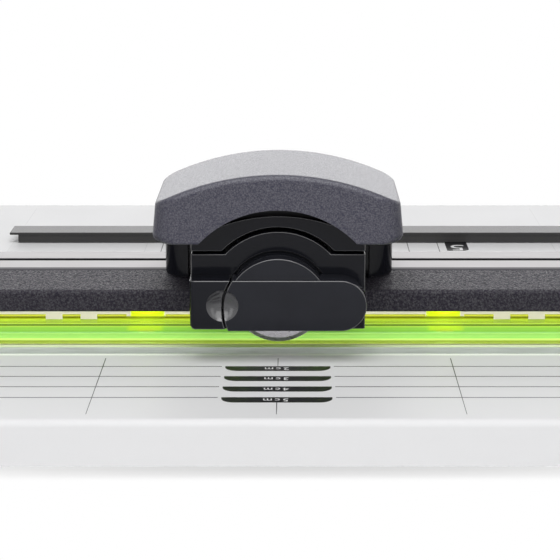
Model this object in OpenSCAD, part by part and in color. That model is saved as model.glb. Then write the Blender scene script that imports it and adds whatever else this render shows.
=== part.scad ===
// Rolling paper trimmer: a round blade in a sprung head that slides along a rail over a flat table.
// Millimetres. +X along the rail, +Y away from the user, +Z up.
// The origin is under the middle of the base, on the surface that the feet stand on.
// Most modules are written from the cut line at the table top: Y is the distance behind the cut.

/* [Base] */
// Length of the base along the rail
base_len = 440; // [400:5:600]
// Depth of the table in front of the cut line
front_depth = 70; // [62:1:100]
// Depth of the table behind the cut line
rear_depth = 218; // [200:2:300]
// Height of the table above the feet
table_h = 12.7; // [11:0.1:18]
// Thickness of the table sheets
sheet_t = 1.2; // [0.8:0.1:1.4]
// Bend radius of the outer table edges
edge_r = 2; // [1.6:0.1:3]
// Bend radius of the table edges beside the groove
fold_r = 1.5; // [1.5:0.1:2]
// Thickness of an end cap
cap_t = 6; // [4:0.5:10]
// Radius of the end caps' outer corners
cap_r = 5; // [1:0.5:5]
// Length of the end caps' tongues under the table
tongue_l = 20; // [18:1:30]
// Room between the tongues and the parts beside them
tongue_gap = 1; // [0.9:0.1:2]

/* [Feet] */
// Height of a foot
foot_h = 3.3; // [2.8:0.1:6]
// Radius of a foot
foot_r = 7.5; // [6:0.5:9]
// Radius of the stem that plugs a foot in
foot_stem_r = 2.5; // [2:0.1:3]
// Length of that stem
foot_stem_l = 5; // [4:0.5:7]
// Distance of the outer feet from the front and rear edges
foot_inset = 14; // [12:1:20]

/* [Cross beam] */
// Thickness of the beam's floor
floor_t = 2.5; // [2:0.1:3]
// Thickness of the beam's ribs
rib_t = 3; // [2.5:0.1:4]
// Room above the ribs, beside a fold
rib_gap = 0.5; // [0.4:0.1:1]
// Overlap of the beam under the front table
beam_lap = 14; // [12:1:20]
// Distance of the beam's rear edge behind the cut line
beam_rear = 50; // [48:1:56]
// Radius of the beam's screw ports
port_r = 3.2; // [3:0.1:3.6]
// Depth of the screw ports in the beam's floor
port_sink = 0.4; // [0.2:0.1:0.8]
// Distance of the front screw port behind the cut line
port_y = 17; // [16:0.5:19]
// Distance between the two screw ports
port_pitch = 16; // [15:0.5:17]

/* [Cutting edge] */
// Width of the cutting groove
groove_w = 7; // [6:0.1:9]
// Place of the counter knife's front face behind the cut line
knife_face = 0.4; // [0.4:0.05:0.6]
// Thickness of the counter knife
knife_t = 2.2; // [2:0.1:2.6]
// Number of knife screws
knife_screws_n = 7; // [5:1:11]
// Distance of the end screws from the ends of the knife
knife_screw_inset = 22; // [15:1:40]

/* [Rail] */
// Distance of the rail's front face behind the cut line
rail_front = 2; // [2:0.1:2.4]
// Height of the rail's underside above the table
rail_bottom = 10.4; // [10:0.1:12]
// Height of the cover's front edge above the table
cover_front_z = 16.9; // [16.5:0.1:17.4]
// Distance of the cover's rear edge behind the cut line
cover_rear = 24; // [23:0.5:26]
// Height of the cover's rear edge above the table
cover_rear_z = 19; // [18.5:0.1:19.3]
// Thickness of the cover
cover_t = 1.6; // [1.2:0.1:1.8]
// Radius of the cover's front top edge
cover_r = 1.2; // [0.8:0.1:1.5]
// Distance of the rail's rear edge behind the cut line
rail_rear = 45.8; // [43:0.2:48]
// Step from the cover's rear edge down to the bare rail
strip_step = 0.2; // [0.1:0.1:0.4]
// Distance of the running slot behind the cut line
slot_y = 35.1; // [34:0.1:35.6]
// Width of the running slot at its mouth
slot_w = 3.2; // [3.2:0.1:4]
// Width of the running slot inside
slot_wide = 8; // [7:0.1:9]
// Height of the wide part of the slot
slot_h = 2.8; // [2.4:0.1:3]
// Thickness of the lips beside the slot's mouth
slot_lip = 2.4; // [2:0.1:2.6]
// Height of the rail's screw ports above its underside
rail_port_h = 2.9; // [2.6:0.1:3.2]
// Distance of the first port behind the rail's front face
rail_port_in = 7; // [6:0.1:8]
// Distance of the second port behind the cover
rail_port_back = 2; // [1.6:0.1:2.2]
// Depth of the pockets that hold the rail's ends
pocket_d = 9; // [7:0.5:11]

/* [Rail brackets] */
// Distance of a bracket's outer face from the end of the base
bracket_edge = 3; // [2:0.5:6]
// Length of a bracket along the rail
bracket_w = 17; // [15:0.5:20]
// Height of a bracket above the table
bracket_h = 25; // [23:0.5:30]
// Wall of a bracket behind the rail
bracket_wall = 4; // [3:0.5:5]
// Radius of a bracket's top edges
bracket_r = 6; // [3:0.5:6]
// Distance of a bracket's screws from its front and rear
bracket_screw_inset = 9.5; // [9:0.5:10.5]
// Depth of the bracket screws in the bracket
bracket_screw_l = 8; // [6:0.5:9]

/* [Clamp] */
// Distance of the clamp's front face behind the cut line
clamp_front = 3; // [3:0.1:3.4]
// Depth of the clamp's front lip
lip_d = 5.2; // [4.5:0.1:6]
// Height of the lip's top above the table
lip_z = 6.6; // [6:0.1:7]
// Depth of the whole clamp
clamp_d = 19; // [17:0.5:22]
// Height of the clamp's underside above the table
clamp_lift = 0.3; // [0.3:0.05:0.5]
// Thickness of the clamp's rear plate
plate_t = 2.5; // [2:0.1:3]
// Height of the ridge on the lip
ridge_h = 1; // [0.6:0.1:1.2]
// Width of the ridge on the lip
ridge_w = 1; // [0.8:0.1:1.4]
// Width of each gap in the ridge
ridge_gap = 5; // [4:0.2:6]
// Width of the tab between two gaps
ridge_tab = 5.4; // [4:0.2:7]
// Distance between the tabs, halved
tab_x = 67; // [60:1:70]
// Radius of a boss
boss_r = 5.2; // [5:0.1:5.5]
// Radius of the ring at a boss's foot
boss_foot_r = 5.8; // [5.6:0.1:6]
// Distance of the bosses behind the cut line
boss_y = 13.4; // [13.2:0.1:14]
// Distance between two bosses
boss_pitch = 89.4; // [80:0.2:96]
// Depth of a boss inside the rail
boss_in = 0.8; // [0.6:0.1:1]
// Height of a clamp spring
clamp_spring_h = 1.4; // [1.3:0.1:1.6]
// Thickness of the web that a clamp screw hangs from
web_t = 0.8; // [0.7:0.1:1]
// Height of a clamp screw's head
clamp_head_h = 1.2; // [1:0.1:1.2]
// Length of a clamp screw below the web
clamp_screw_l = 4.8; // [4:0.1:6]
// Gap between the clamp's ends and the brackets
clamp_end_gap = 4; // [3:0.5:6]

/* [Head] */
// Place of the head along the rail, from the middle of the base
head_x = -5; // [-20:1:20]
// Height of the blade's axis above the table
axis_z = 15.9; // [15.8:0.05:16.2]
// Half width of the blade housing and head frame
head_half = 25.2; // [25:0.1:25.6]
// Distance of the housing's face in front of the cut line
face_y = 8.5; // [8:0.1:9.5]
// Height of the housing's foot above the table
housing_foot = 8; // [7.8:0.1:8.6]
// Height of the housing's shoulders above the table
housing_top = 30.3; // [29.5:0.1:30.5]
// Radius of the housing's arch
housing_arch = 21; // [20.6:0.1:21.4]
// Wall thickness of the housing
housing_wall = 2; // [1.6:0.1:2.2]
// Distance of the housing's rear edge behind the cut line
housing_back = 1.2; // [1.1:0.05:1.3]
// Gap between the housing's arch and the frame above it
arch_gap = 1.2; // [0.8:0.1:1.4]
// Gap between the housing's shoulders and the frame above them
shoulder_gap = 0.8; // [0.5:0.1:1]
// Distance of the frame's rear face behind the cut line
frame_back = 12.6; // [12:0.1:12.6]
// Height of the frame's rear wall above the table
frame_foot = 21.2; // [21:0.1:22]
// Height of the underside of the frame's top plate
plate_z = 39; // [38:0.5:40]
// Thickness of the frame's top plate
frame_plate_t = 6; // [5:0.5:6.5]
// Gap between the frame's top plate and the handle's walls
frame_clear = 1.4; // [1.2:0.1:2]
// Height of the fascia's top edge above the table
fascia_z = 41.5; // [41:0.1:42]
// Radius of the fascia's top edge
fascia_r = 48; // [44:1:60]
// Depth of the step above the fascia
fascia_step = 3; // [2:0.5:4]
// Distance of the frame's screws from the middle of the head
housing_screw_x = 20.6; // [20.4:0.1:20.8]
// Height of those screws above the table
housing_screw_z = 26.4; // [26:0.1:26.6]

/* [Handle] */
// Half width of the handle
handle_half = 35; // [34.8:0.1:35.4]
// Distance of the handle's front in front of the cut line
handle_front = 16.5; // [16:0.1:17]
// Depth of the handle
handle_d = 45.2; // [44:0.2:47]
// Height of the handle's lower edge above the table
handle_foot = 34.7; // [34:0.1:35.5]
// Height of the handle's crown above the table
handle_crown = 54.7; // [54:0.1:58]
// Radius of the handle's roof
roof_r = 77; // [70:1:110]
// Radius of the handle's corners
handle_corner_r = 6; // [4:0.5:8]
// Wall thickness of the handle
handle_wall = 2.2; // [1.8:0.1:2.4]
// Distance of the handle's screws from its sides
handle_screw_in = 6.2; // [6:0.1:6.6]
// Distance of the handle's screws behind the housing
handle_screw_back = 6.8; // [6:0.1:8]
// Radius of the bosses for the handle's screws
handle_boss_r = 3.4; // [3:0.1:3.6]
// Depth of the handle's screws in the handle
handle_bite = 2; // [1.6:0.1:2]
// Radius of the arch in the handle's front
handle_arch = 28.8; // [27:0.1:29.5]

/* [Blade] */
// Radius of the blade
blade_r = 14; // [13.5:0.1:14.2]
// Thickness of the blade
blade_t = 0.45; // [0.3:0.05:0.5]
// Width of the blade's bevel
bevel_w = 1.2; // [0.8:0.1:2]
// Running gap between the blade and the knife
shear_gap = 0.1; // [0.05:0.01:0.1]
// Radius of the axle
axle_r = 3; // [2.5:0.1:3.2]
// Wall of the housing's boss around the axle
axle_boss_wall = 3.6; // [3:0.1:4]
// Radius of the hub's sleeve in the blade
sleeve_r = 5; // [4.4:0.1:5.2]
// Radius of the hub's flange
flange_r = 8; // [7:0.5:9]
// Thickness of the hub's flange
flange_t = 1.15; // [1:0.05:1.3]
// Radius of the ring behind the blade
ring_r = 6.6; // [6:0.1:7]
// Thickness of the ring behind the blade
ring_t = 0.6; // [0.5:0.05:0.6]
// Height of the spring that pushes the hub
pressure_h = 1.6; // [1.2:0.1:2]
// Thickness of the clip on the axle
clip_t = 0.4; // [0.3:0.05:0.4]
// Radius of the clip on the axle
clip_r = 4.4; // [4:0.1:4.6]

/* [Cover lever] */
// Distance of the lever's front in front of the cut line
lever_front = 17.5; // [17:0.1:18.5]
// Step from the arm's front back to the round cover
lever_step = 0.8; // [0.4:0.1:1.2]
// Radius of the round cover
cover_disc_r = 14.8; // [14.4:0.1:15]
// Wall of the lever in front of the axle
lever_wall = 3; // [2:0.1:4]
// Gap around the round cover
disc_gap = 0.5; // [0.4:0.1:0.6]
// Depth of the recess around the round cover
disc_recess = 1; // [0.8:0.1:1.2]
// Radius of the lever's left end
lever_end_r = 15.6; // [15.4:0.1:15.8]
// Height of the lever's lower edge above the table
arm_foot = 9.7; // [9.4:0.1:10.2]
// Height of the arm
arm_h = 14.8; // [14:0.1:15]
// Height of the finger block's lower edge above the arm's
block_step = 0.5; // [0.2:0.1:0.8]
// Radius of the finger block's lower corner
block_r = 1.6; // [0.8:0.1:3]
// Radius of the finger block's outer side
block_side_r = 1.7; // [0.8:0.1:3]
// Distance of the arm's tip from the blade's axis
arm_reach = 25.4; // [24:0.1:25.8]
// Depth of the finger dimple
dimple_d = 1.8; // [1:0.1:2.4]
// Radius of the finger dimple
dimple_r = 4.6; // [4:0.1:5]
// Height of the finger dimple above the table
dimple_z = 17.2; // [16.5:0.1:17.5]

/* [Carriage] */
// Half width of the carriage
carriage_half = 34.35; // [34:0.05:34.6]
// Gap between the frame and the carriage
frame_gap = 0.4; // [0.3:0.1:0.8]
// Width of the grooves that show beside the head
bay_gap = 1.8; // [1.2:0.1:2]
// Depth of the grooves
bay_d = 2.5; // [1.5:0.5:3]
// Distance of the carriage's rear behind the rail
carriage_lip = 3.6; // [3:0.1:4]
// Height of the carriage's top above the table
carriage_top = 30; // [29:0.5:31]
// Depth of the lip behind the rail
lip_drop = 5.6; // [4:0.2:7]
// Radius of the carriage's front corners
carriage_r = 7; // [5:0.5:8]
// Radius of the carriage's rear corners
carriage_rear_r = 4; // [2:0.5:6]
// Travel of the head when it is pressed
press_travel = 2.6; // [2.2:0.1:2.8]
// Radius of a guide pin
pin_r = 2.5; // [2:0.1:2.8]
// Distance of the guide pins from the middle of the head
pin_x = 17; // [16:0.5:18]
// Distance of the guide pins behind the carriage's front
pin_in = 6.4; // [6:0.1:7]
// Distance of the guide pins' tops below the frame's top
pin_short = 1; // [0.5:0.1:2]
// Depth of the guide pins in the carriage
pin_in_carriage = 9.2; // [9:0.1:10]
// Radius of the frame's bosses on the pins
pin_boss_r = 4.4; // [4.2:0.1:4.6]
// Depth of the press springs' pockets
pocket_h = 8; // [7.6:0.1:8.4]
// Height of the press springs at rest
press_spring_h = 7; // [6:0.1:7.4]
// Length of the guide shoe in the slot
shoe_l = 44; // [36:1:56]
// Depth of the guide shoe in the carriage
shoe_in = 2; // [1.6:0.1:2.4]
// Radius of the shoe screws' tips
shoe_tip_r = 0.8; // [0.7:0.05:0.9]
// Side of a glide pad
pad_w = 4; // [3:0.5:4]
// Length of a glide pad
pad_l = 12; // [8:1:16]
// Thickness of a glide pad
pad_t = 1.6; // [1.2:0.1:2]

/* [Back stop] */
// Distance of the stop's front behind the cut line
stop_y = 144.4; // [142:0.2:150]
// Height of the stop
stop_h = 4.1; // [3.8:0.1:4.6]
// Depth of the stop's foot
stop_foot_d = 10.8; // [10:0.1:12]
// Overhang of the stop's top plate at its front and rear
stop_over = 0.7; // [0.4:0.1:1]
// Thickness of the stop's top plate
stop_plate_t = 0.9; // [0.8:0.1:1.2]
// Place of the stop's left end, from the middle of the base
stop_left = -103; // [-140:1:-60]
// Overhang of the top plate at the left end
stop_end_over = 3; // [1:0.5:5]
// Distance of a side guide's outer face from the end of the base
guide_edge = 10; // [9:0.5:14]
// Width of a side guide
guide_w = 14; // [13:0.5:15]
// Height of a side guide
guide_h = 8.5; // [8:0.1:10]
// Distance of the side guides' front ends behind the cut line
guide_front = 55; // [54:1:60]
// Distance of the side guides' rear ends from the table's rear edge
guide_inset = 5; // [4:0.5:10]
// Distance of the first guide screw from the guide's front end
guide_screw_inset = 12; // [8:1:20]
// Room between the last guide screw's head and the rear foot
foot_clear = 6; // [3:0.5:10]
// Width of the guides' slot at its mouth
guide_slot = 4.6; // [4.4:0.1:5]
// Width of the guides' slot inside
guide_slot_wide = 8.4; // [8:0.1:9]
// Height of the wide part of the guides' slot
guide_slot_h = 2.6; // [2.4:0.1:2.8]
// Thickness of the guides' lips
guide_lip = 2; // [1.8:0.1:2.4]
// Length of the slider along the guide
slider_l = 20; // [18:1:24]
// Wall of the slider beside and over the guide
slider_wall = 2; // [1.8:0.1:2.4]
// Height of the slider above the guide
slider_top_t = 5; // [4:0.5:6]
// Length of the slider's lug over the stop
lug_l = 18; // [16:1:24]
// Thickness of the lug
lug_t = 3.6; // [3:0.1:4]
// Radius of the knob
knob_r = 9; // [8:0.5:10]
// Height of the knob
knob_h = 9; // [7:0.5:12]
// Number of flutes around the knob
knob_flutes = 12; // [8:1:16]
// Radius of the knob's stud
stud_r = 2; // [1.8:0.1:2.1]

/* [Screws and fits] */
// Radius of the screw shanks
screw_r = 1.5; // [1.4:0.05:1.6]
// Radius of the screw heads
head_r = 2.8; // [2.6:0.1:3]
// Height of the screw heads
head_h = 1.8; // [1.4:0.1:2]
// Length of a rail or cap screw inside its port
screw_bite = 12; // [8:0.5:16]
// Gap around screws and seated parts
fit_gap = 0.05; // [0.03:0.01:0.08]
// Gap around sliding and turning parts
run_gap = 0.06; // [0.04:0.01:0.08]
// Gap between parts that pass each other
pass_gap = 0.3; // [0.25:0.05:0.4]

/* [Hidden] */
$fn = 96;
tiny = 0.01;
base_depth = front_depth + rear_depth;
cut_y = front_depth - base_depth / 2;
table_z = foot_h + table_h;
table_len = base_len - 2 * cap_t;
floor_z = floor_t - table_h;
groove_y = knife_face - groove_w;
knife_back = knife_face + knife_t;
knife_screw_z = floor_z / 2;
knife_pitch = (table_len - 2 * knife_screw_inset) / (knife_screws_n - 1);
beam_front = groove_y - beam_lap;
port_z = floor_z + port_r - port_sink;
foot_x = table_len / 2 - tongue_l / 2;
mid_foot_y = port_y + port_pitch / 2;
feet = [
  [foot_x, foot_inset - front_depth],
  [foot_x, mid_foot_y],
  [foot_x, rear_depth - foot_inset]
];
// Rail
rail_span = base_len - 2 * (bracket_edge + bracket_w);
slope = (cover_rear_z - cover_front_z) / (cover_rear - rail_front);
slope_a = atan(slope);
strip_z = cover_rear_z - strip_step;
rail_len = rail_span + 2 * pocket_d - 2 * fit_gap;
rail_port_z = rail_bottom + rail_port_h;
rail_ports = [rail_front + rail_port_in, cover_rear + rail_port_back];
bracket_in = rail_span / 2;
bracket_rear = rail_rear + bracket_wall;
bracket_screw_x = bracket_in + bracket_w / 2;
bracket_screws_y = [knife_face + bracket_screw_inset, bracket_rear - bracket_screw_inset];
// Clamp
clamp_len = rail_span - 2 * clamp_end_gap;
boss_top = rail_bottom + boss_in;
boss_xs = [for (i = [-1.5 : 1 : 1.5]) i * boss_pitch];
web_z = boss_top + clamp_spring_h;
// Head
carriage_front = frame_back + frame_gap;
carriage_rear = rail_rear + carriage_lip;
pin_y = carriage_front + pin_in;
pin_top = plate_z + frame_plate_t - pin_short;
pin_foot = carriage_top - pin_in_carriage;
spring_z = carriage_top - pocket_h;
pin_boss_z = spring_z + press_spring_h;
handle_back = handle_d - handle_front;
handle_screw_x = handle_half - handle_screw_in;
handle_screw_y = housing_back + handle_screw_back;
frame_half = handle_half - handle_wall - frame_clear;
frame_rear = handle_back - handle_wall - frame_clear;
blade_back = knife_face - shear_gap;
blade_front = blade_back - blade_t;
flange_front = blade_front - flange_t;
boss_back = flange_front - pressure_h;
ring_back = blade_back + ring_t;
clip_front = ring_back + fit_gap;
axle_boss_r = axle_r + axle_boss_wall;
recess_r = cover_disc_r + disc_gap;
lever_back = face_y - disc_recess + pass_gap;
lever_seat = lever_front - lever_wall;
dimple_ball = (dimple_r * dimple_r + dimple_d * dimple_d) / (2 * dimple_d);
split_r = lever_end_r + disc_gap;
arm_end_r = arm_h / 2;
block_foot = arm_foot + block_step;
arm_mid_z = arm_foot + arm_end_r;
// Back stop
guide_x = base_len / 2 - guide_edge - guide_w / 2;
stop_mid = stop_y + stop_foot_d / 2;
slot_top = guide_h - guide_lip;
slot_floor = slot_top - guide_slot_h;
guide_rear = rear_depth - guide_inset;
guide_first = guide_front + guide_screw_inset;
guide_last = rear_depth - foot_inset - foot_r - head_r - foot_clear;
guide_screw_ys = [guide_first, (guide_first + guide_last) / 2, guide_last];
slider_z = guide_h + fit_gap;
slider_half = guide_w / 2 + slider_wall + fit_gap;
stop_right = guide_x - slider_half - fit_gap;
knob_z = slider_z + slider_top_t;
lug_xs = [stop_right - lug_l * 0.75, stop_right - lug_l * 0.25];

// Height of the cover's sloping top at a distance behind the cut line
function top_z(y) = cover_front_z + (y - rail_front) * slope;

// Frames that the modules are written in
module at_cut() {
  translate([0, cut_y, table_z]) children();
}

module at_head() {
  translate([head_x, cut_y, table_z]) children();
}

module at_axis() {
  at_head() translate([0, 0, axis_z]) children();
}

// A Y-Z outline drawn along X
module along_x(x0, x1) {
  translate([x0, 0, 0]) rotate([90, 0, 90]) linear_extrude(x1 - x0) children();
}

// An X-Z outline drawn along Y
module along_y(y0, y1) {
  translate([0, y1, 0]) rotate([90, 0, 0]) linear_extrude(y1 - y0) children();
}

module block(x0, x1, y0, y1, z0, z1) {
  translate([x0, y0, z0]) cube([x1 - x0, y1 - y0, z1 - z0]);
}

module rect(x0, x1, y0, y1) {
  translate([x0, y0]) square([x1 - x0, y1 - y0]);
}

module x_rod(r, x0, x1) {
  translate([x0, 0, 0]) rotate([0, 90, 0]) cylinder(r = r, h = x1 - x0);
}

module y_rod(r, y0, y1) {
  translate([0, y1, 0]) rotate([90, 0, 0]) cylinder(r = r, h = y1 - y0);
}

module z_rod(r, z0, z1) {
  translate([0, 0, z0]) cylinder(r = r, h = z1 - z0);
}

// A rectangle with its own radius at the front and at the rear corners
module round_rect(x0, x1, y0, y1, rf, rr) {
  difference() {
    rect(x0, x1, y0, y1);
    for (s = [0, 1]) {
      xc = s == 0 ? x0 : x1;
      d = s == 0 ? 1 : -1;
      corner_cut(xc, y0, d, 1, rf);
      corner_cut(xc, y1, d, -1, rr);
    }
  }
}

module corner_cut(x, y, dx, dy, r) {
  difference() {
    translate([x - (dx < 0 ? r : 0), y - (dy < 0 ? r : 0)]) square(r);
    translate([x + dx * r, y + dy * r]) circle(r);
  }
}

module both_sides() {
  children();
  mirror([1, 0, 0]) children();
}

// A screw that points down from its seat at the origin, with a hexagon socket
module screw(len, r = screw_r, hr = head_r, hh = head_h) {
  difference() {
    union() {
      z_rod(r, -len, 0);
      z_rod(hr, 0, hh);
    }
    translate([0, 0, hh * 0.4]) cylinder(r = hr * 0.5, h = hh, $fn = 6);
  }
}

// The Y-Z outline of a sheet that is folded down at both edges
module folded_sheet(y0, y1, drop0, drop1, r0, r1) {
  rect(y0 + r0, y1 - r1, -sheet_t, 0);
  rect(y0, y0 + sheet_t, -drop0, -r0);
  rect(y1 - sheet_t, y1, -drop1, -r1);
  bend(y0 + r0, r0, -1);
  bend(y1 - r1, r1, 1);
}

module bend(y, r, side) {
  translate([y, -r]) intersection() {
    difference() {
      circle(r);
      circle(r - sheet_t);
    }
    translate([side < 0 ? -r : 0, 0]) square(r);
  }
}

// Places shared by several parts
module at_knife_screws() {
  for (i = [0 : knife_screws_n - 1]) {
    translate([(i - (knife_screws_n - 1) / 2) * knife_pitch, 0, knife_screw_z]) children();
  }
}

module at_bracket_screws() {
  for (y = bracket_screws_y) {
    both_sides() translate([bracket_screw_x, y, 0]) children();
  }
}

module at_guide_screws() {
  for (y = guide_screw_ys) {
    both_sides() translate([guide_x, y, 0]) children();
  }
}

module at_feet() {
  for (p = feet) {
    both_sides() translate([p[0], p[1], -table_h]) children();
  }
}

module at_ports() {
  for (i = [0, 1]) {
    translate([0, port_y + i * port_pitch, port_z]) children();
  }
}

module at_rail_ports() {
  for (y = rail_ports) {
    translate([0, y, rail_port_z]) children();
  }
}

module at_bosses() {
  for (x = boss_xs) {
    translate([x, boss_y, 0]) children();
  }
}

module at_pins() {
  both_sides() translate([pin_x, pin_y, 0]) children();
}

module at_shoe_screws() {
  both_sides() translate([shoe_l / 4, slot_y, 0]) children();
}

module at_handle_screws() {
  both_sides() translate([handle_screw_x, handle_screw_y, 0]) children();
}

module at_housing_screws() {
  both_sides() translate([housing_screw_x, 0, housing_screw_z]) children();
}

// Table and base
module front_table() {
  color([0.89, 0.89, 0.90]) at_cut() along_x(-table_len / 2, table_len / 2) {
    folded_sheet(-front_depth, groove_y, table_h, -floor_z, edge_r, fold_r);
  }
}

module rear_table() {
  color([0.89, 0.89, 0.90]) at_cut() difference() {
    along_x(-table_len / 2, table_len / 2) {
      folded_sheet(knife_back, rear_depth, -floor_z, table_h, fold_r, edge_r);
    }
    at_knife_screws() y_rod(screw_r + fit_gap, knife_back - 1, knife_back + sheet_t + tiny);
    at_bracket_screws() z_rod(screw_r + fit_gap, -sheet_t - 1, 1);
    at_guide_screws() z_rod(screw_r + fit_gap, -sheet_t - 1, 1);
  }
}

module cross_beam() {
  rib_top = -sheet_t - rib_gap;
  front_rib = groove_y - sheet_t;
  knife_rib = knife_back + sheet_t;
  color([0.62, 0.63, 0.65]) at_cut() difference() {
    union() {
      along_x(-table_len / 2, table_len / 2) {
        rect(beam_front, beam_rear, -table_h, floor_z);
        rect(front_rib - rib_t, front_rib, floor_z - tiny, rib_top);
        rect(knife_rib, knife_rib + rib_t, floor_z - tiny, rib_top);
        rect(beam_rear - rib_t, beam_rear, floor_z - tiny, -sheet_t);
      }
      at_ports() x_rod(port_r, -table_len / 2, table_len / 2);
    }
    at_ports() x_rod(screw_r + fit_gap, -table_len / 2 - 1, table_len / 2 + 1);
    at_knife_screws() y_rod(screw_r + fit_gap, knife_rib - 1, knife_rib + rib_t + 1);
    at_bracket_screws() z_rod(screw_r + fit_gap, -table_h - 1, floor_z + 1);
    at_feet() z_rod(foot_stem_r + fit_gap, -1, floor_t + 1);
  }
}

module end_cap() {
  tongue_x = table_len / 2 - tongue_l;
  at_cut() difference() {
    union() {
      translate([0, 0, -table_h]) linear_extrude(table_h) difference() {
        rect(table_len / 2, base_len / 2, -front_depth, rear_depth);
        corner_cut(base_len / 2, -front_depth, -1, 1, cap_r);
        corner_cut(base_len / 2, rear_depth, -1, -1, cap_r);
      }
      block(tongue_x, table_len / 2 + tiny, sheet_t + tongue_gap - front_depth, beam_front - tongue_gap,
        -table_h, -sheet_t);
      block(tongue_x, table_len / 2 + tiny, beam_rear + tongue_gap, rear_depth - sheet_t - tongue_gap,
        -table_h, -sheet_t);
    }
    at_feet() z_rod(foot_stem_r + fit_gap, -1, foot_stem_l + pass_gap);
    at_ports() x_rod(screw_r + fit_gap, table_len / 2 - 1, base_len / 2 + 1);
    at_ports() x_rod(head_r + pass_gap, base_len / 2 - head_h - pass_gap, base_len / 2 + 1);
    at_guide_screws() z_rod(screw_r + fit_gap, -table_h - 1, 1);
    at_guide_screws() z_rod(head_r + pass_gap, -table_h - 1, head_h + pass_gap - table_h);
  }
}

module end_cap_left() {
  color([0.16, 0.16, 0.17]) mirror([1, 0, 0]) end_cap();
}

module end_cap_right() {
  color([0.16, 0.16, 0.17]) end_cap();
}

module cap_screws() {
  seat = base_len / 2 - head_h - pass_gap;
  color([0.55, 0.55, 0.57]) at_cut() both_sides() at_ports() {
    translate([seat, 0, 0]) rotate([0, 90, 0]) screw(seat - table_len / 2 + screw_bite);
  }
}

module rubber_feet() {
  chamfer = 0.8;
  color([0.10, 0.10, 0.10]) at_cut() at_feet() {
    z_rod(foot_stem_r, -tiny, foot_stem_l);
    z_rod(foot_r, chamfer - foot_h, 0);
    translate([0, 0, -foot_h]) cylinder(r1 = foot_r - chamfer, r2 = foot_r, h = chamfer);
  }
}

// Cutting edge
module counter_knife() {
  color([0.72, 0.74, 0.75]) at_cut() difference() {
    block(-table_len / 2, table_len / 2, knife_face, knife_back, floor_z, 0);
    at_knife_screws() knife_screw_shape(fit_gap, 1);
  }
}

// A countersunk screw along Y, grown by a gap all round
module knife_screw_shape(gap, past) {
  cone = head_r - screw_r;
  y_rod(screw_r + gap, knife_face - tiny, knife_back + sheet_t + rib_t + past);
  translate([0, knife_face, 0]) rotate([-90, 0, 0]) {
    cylinder(r1 = head_r + gap, r2 = screw_r + gap, h = cone);
  }
}

module knife_screws() {
  color([0.55, 0.55, 0.57]) at_cut() at_knife_screws() difference() {
    knife_screw_shape(0, -0.5);
    translate([0, knife_face - 1, 0]) rotate([-90, 0, 0]) cylinder(r = screw_r * 0.8, h = 1.9, $fn = 6);
  }
}

// Rail
module cover_outline() {
  y0 = rail_front + cover_r;
  y1 = rail_front + cover_t;
  z0 = cover_front_z + cover_r * (sin(slope_a) - 1) / cos(slope_a);
  over = 2 * cover_r;
  difference() {
    polygon([
      [rail_front, rail_bottom], [rail_front, cover_front_z], [cover_rear, cover_rear_z],
      [cover_rear, cover_rear_z - cover_t], [y1, top_z(y1) - cover_t], [y1, rail_bottom]
    ]);
    translate([y0, z0]) difference() {
      polygon([[0, 0], [-over, 0], [-over, over], [-over * sin(slope_a), over * cos(slope_a)]]);
      circle(cover_r);
    }
  }
}

// The rail's outline, a gap away from the cover
module rail_outline() {
  y0 = rail_front + cover_t + fit_gap;
  y1 = cover_rear + fit_gap;
  polygon([
    [y0, rail_bottom], [y0, top_z(y0) - cover_t - fit_gap], [y1, top_z(y1) - cover_t - fit_gap],
    [y1, strip_z], [rail_rear, strip_z], [rail_rear, rail_bottom]
  ]);
}

module rail_cover() {
  color([0.17, 0.17, 0.18]) at_cut() along_x(-rail_len / 2, rail_len / 2) cover_outline();
}

module guide_rail() {
  color([0.80, 0.79, 0.79]) at_cut() difference() {
    along_x(-rail_len / 2, rail_len / 2) difference() {
      rail_outline();
      rect(slot_y - slot_w / 2, slot_y + slot_w / 2, strip_z - slot_lip - 1, strip_z + 1);
      rect(slot_y - slot_wide / 2, slot_y + slot_wide / 2, strip_z - slot_lip - slot_h, strip_z - slot_lip);
    }
    at_rail_ports() x_rod(screw_r + fit_gap, -rail_len / 2 - 1, rail_len / 2 + 1);
    at_bosses() {
      z_rod(boss_r + run_gap, rail_bottom - 1, web_z);
      z_rod(screw_r + run_gap, web_z - 1, web_z + web_t + 1);
      z_rod(head_r + pass_gap, web_z + web_t, cover_rear_z);
    }
  }
}

module bracket() {
  outer = bracket_in + bracket_w;
  at_cut() difference() {
    along_x(bracket_in, outer) round_rect(knife_face, bracket_rear, 0, bracket_h, tiny, bracket_r);
    along_x(bracket_in - 1, bracket_in + pocket_d) rail_pocket();
    at_rail_ports() x_rod(screw_r + fit_gap, bracket_in, outer + 1);
    at_rail_ports() x_rod(head_r + pass_gap, outer - head_h - pass_gap, outer + 1);
    at_bracket_screws() z_rod(screw_r + fit_gap, -1, bracket_screw_l + pass_gap);
  }
}

// The rail's outline with the fit around it
module rail_pocket() {
  g = fit_gap;
  polygon([
    [rail_front - g, rail_bottom - g], [rail_front - g, cover_front_z + g],
    [cover_rear + g, cover_rear_z + 2 * g], [rail_rear + g, cover_rear_z + 2 * g], [rail_rear + g, rail_bottom - g]
  ]);
}

module rail_bracket_left() {
  color([0.14, 0.14, 0.15]) mirror([1, 0, 0]) bracket();
}

module rail_bracket_right() {
  color([0.14, 0.14, 0.15]) bracket();
}

module bracket_screws() {
  color([0.55, 0.55, 0.57]) at_cut() at_bracket_screws() {
    translate([0, 0, -table_h]) rotate([180, 0, 0]) screw(table_h + bracket_screw_l);
  }
}

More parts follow.
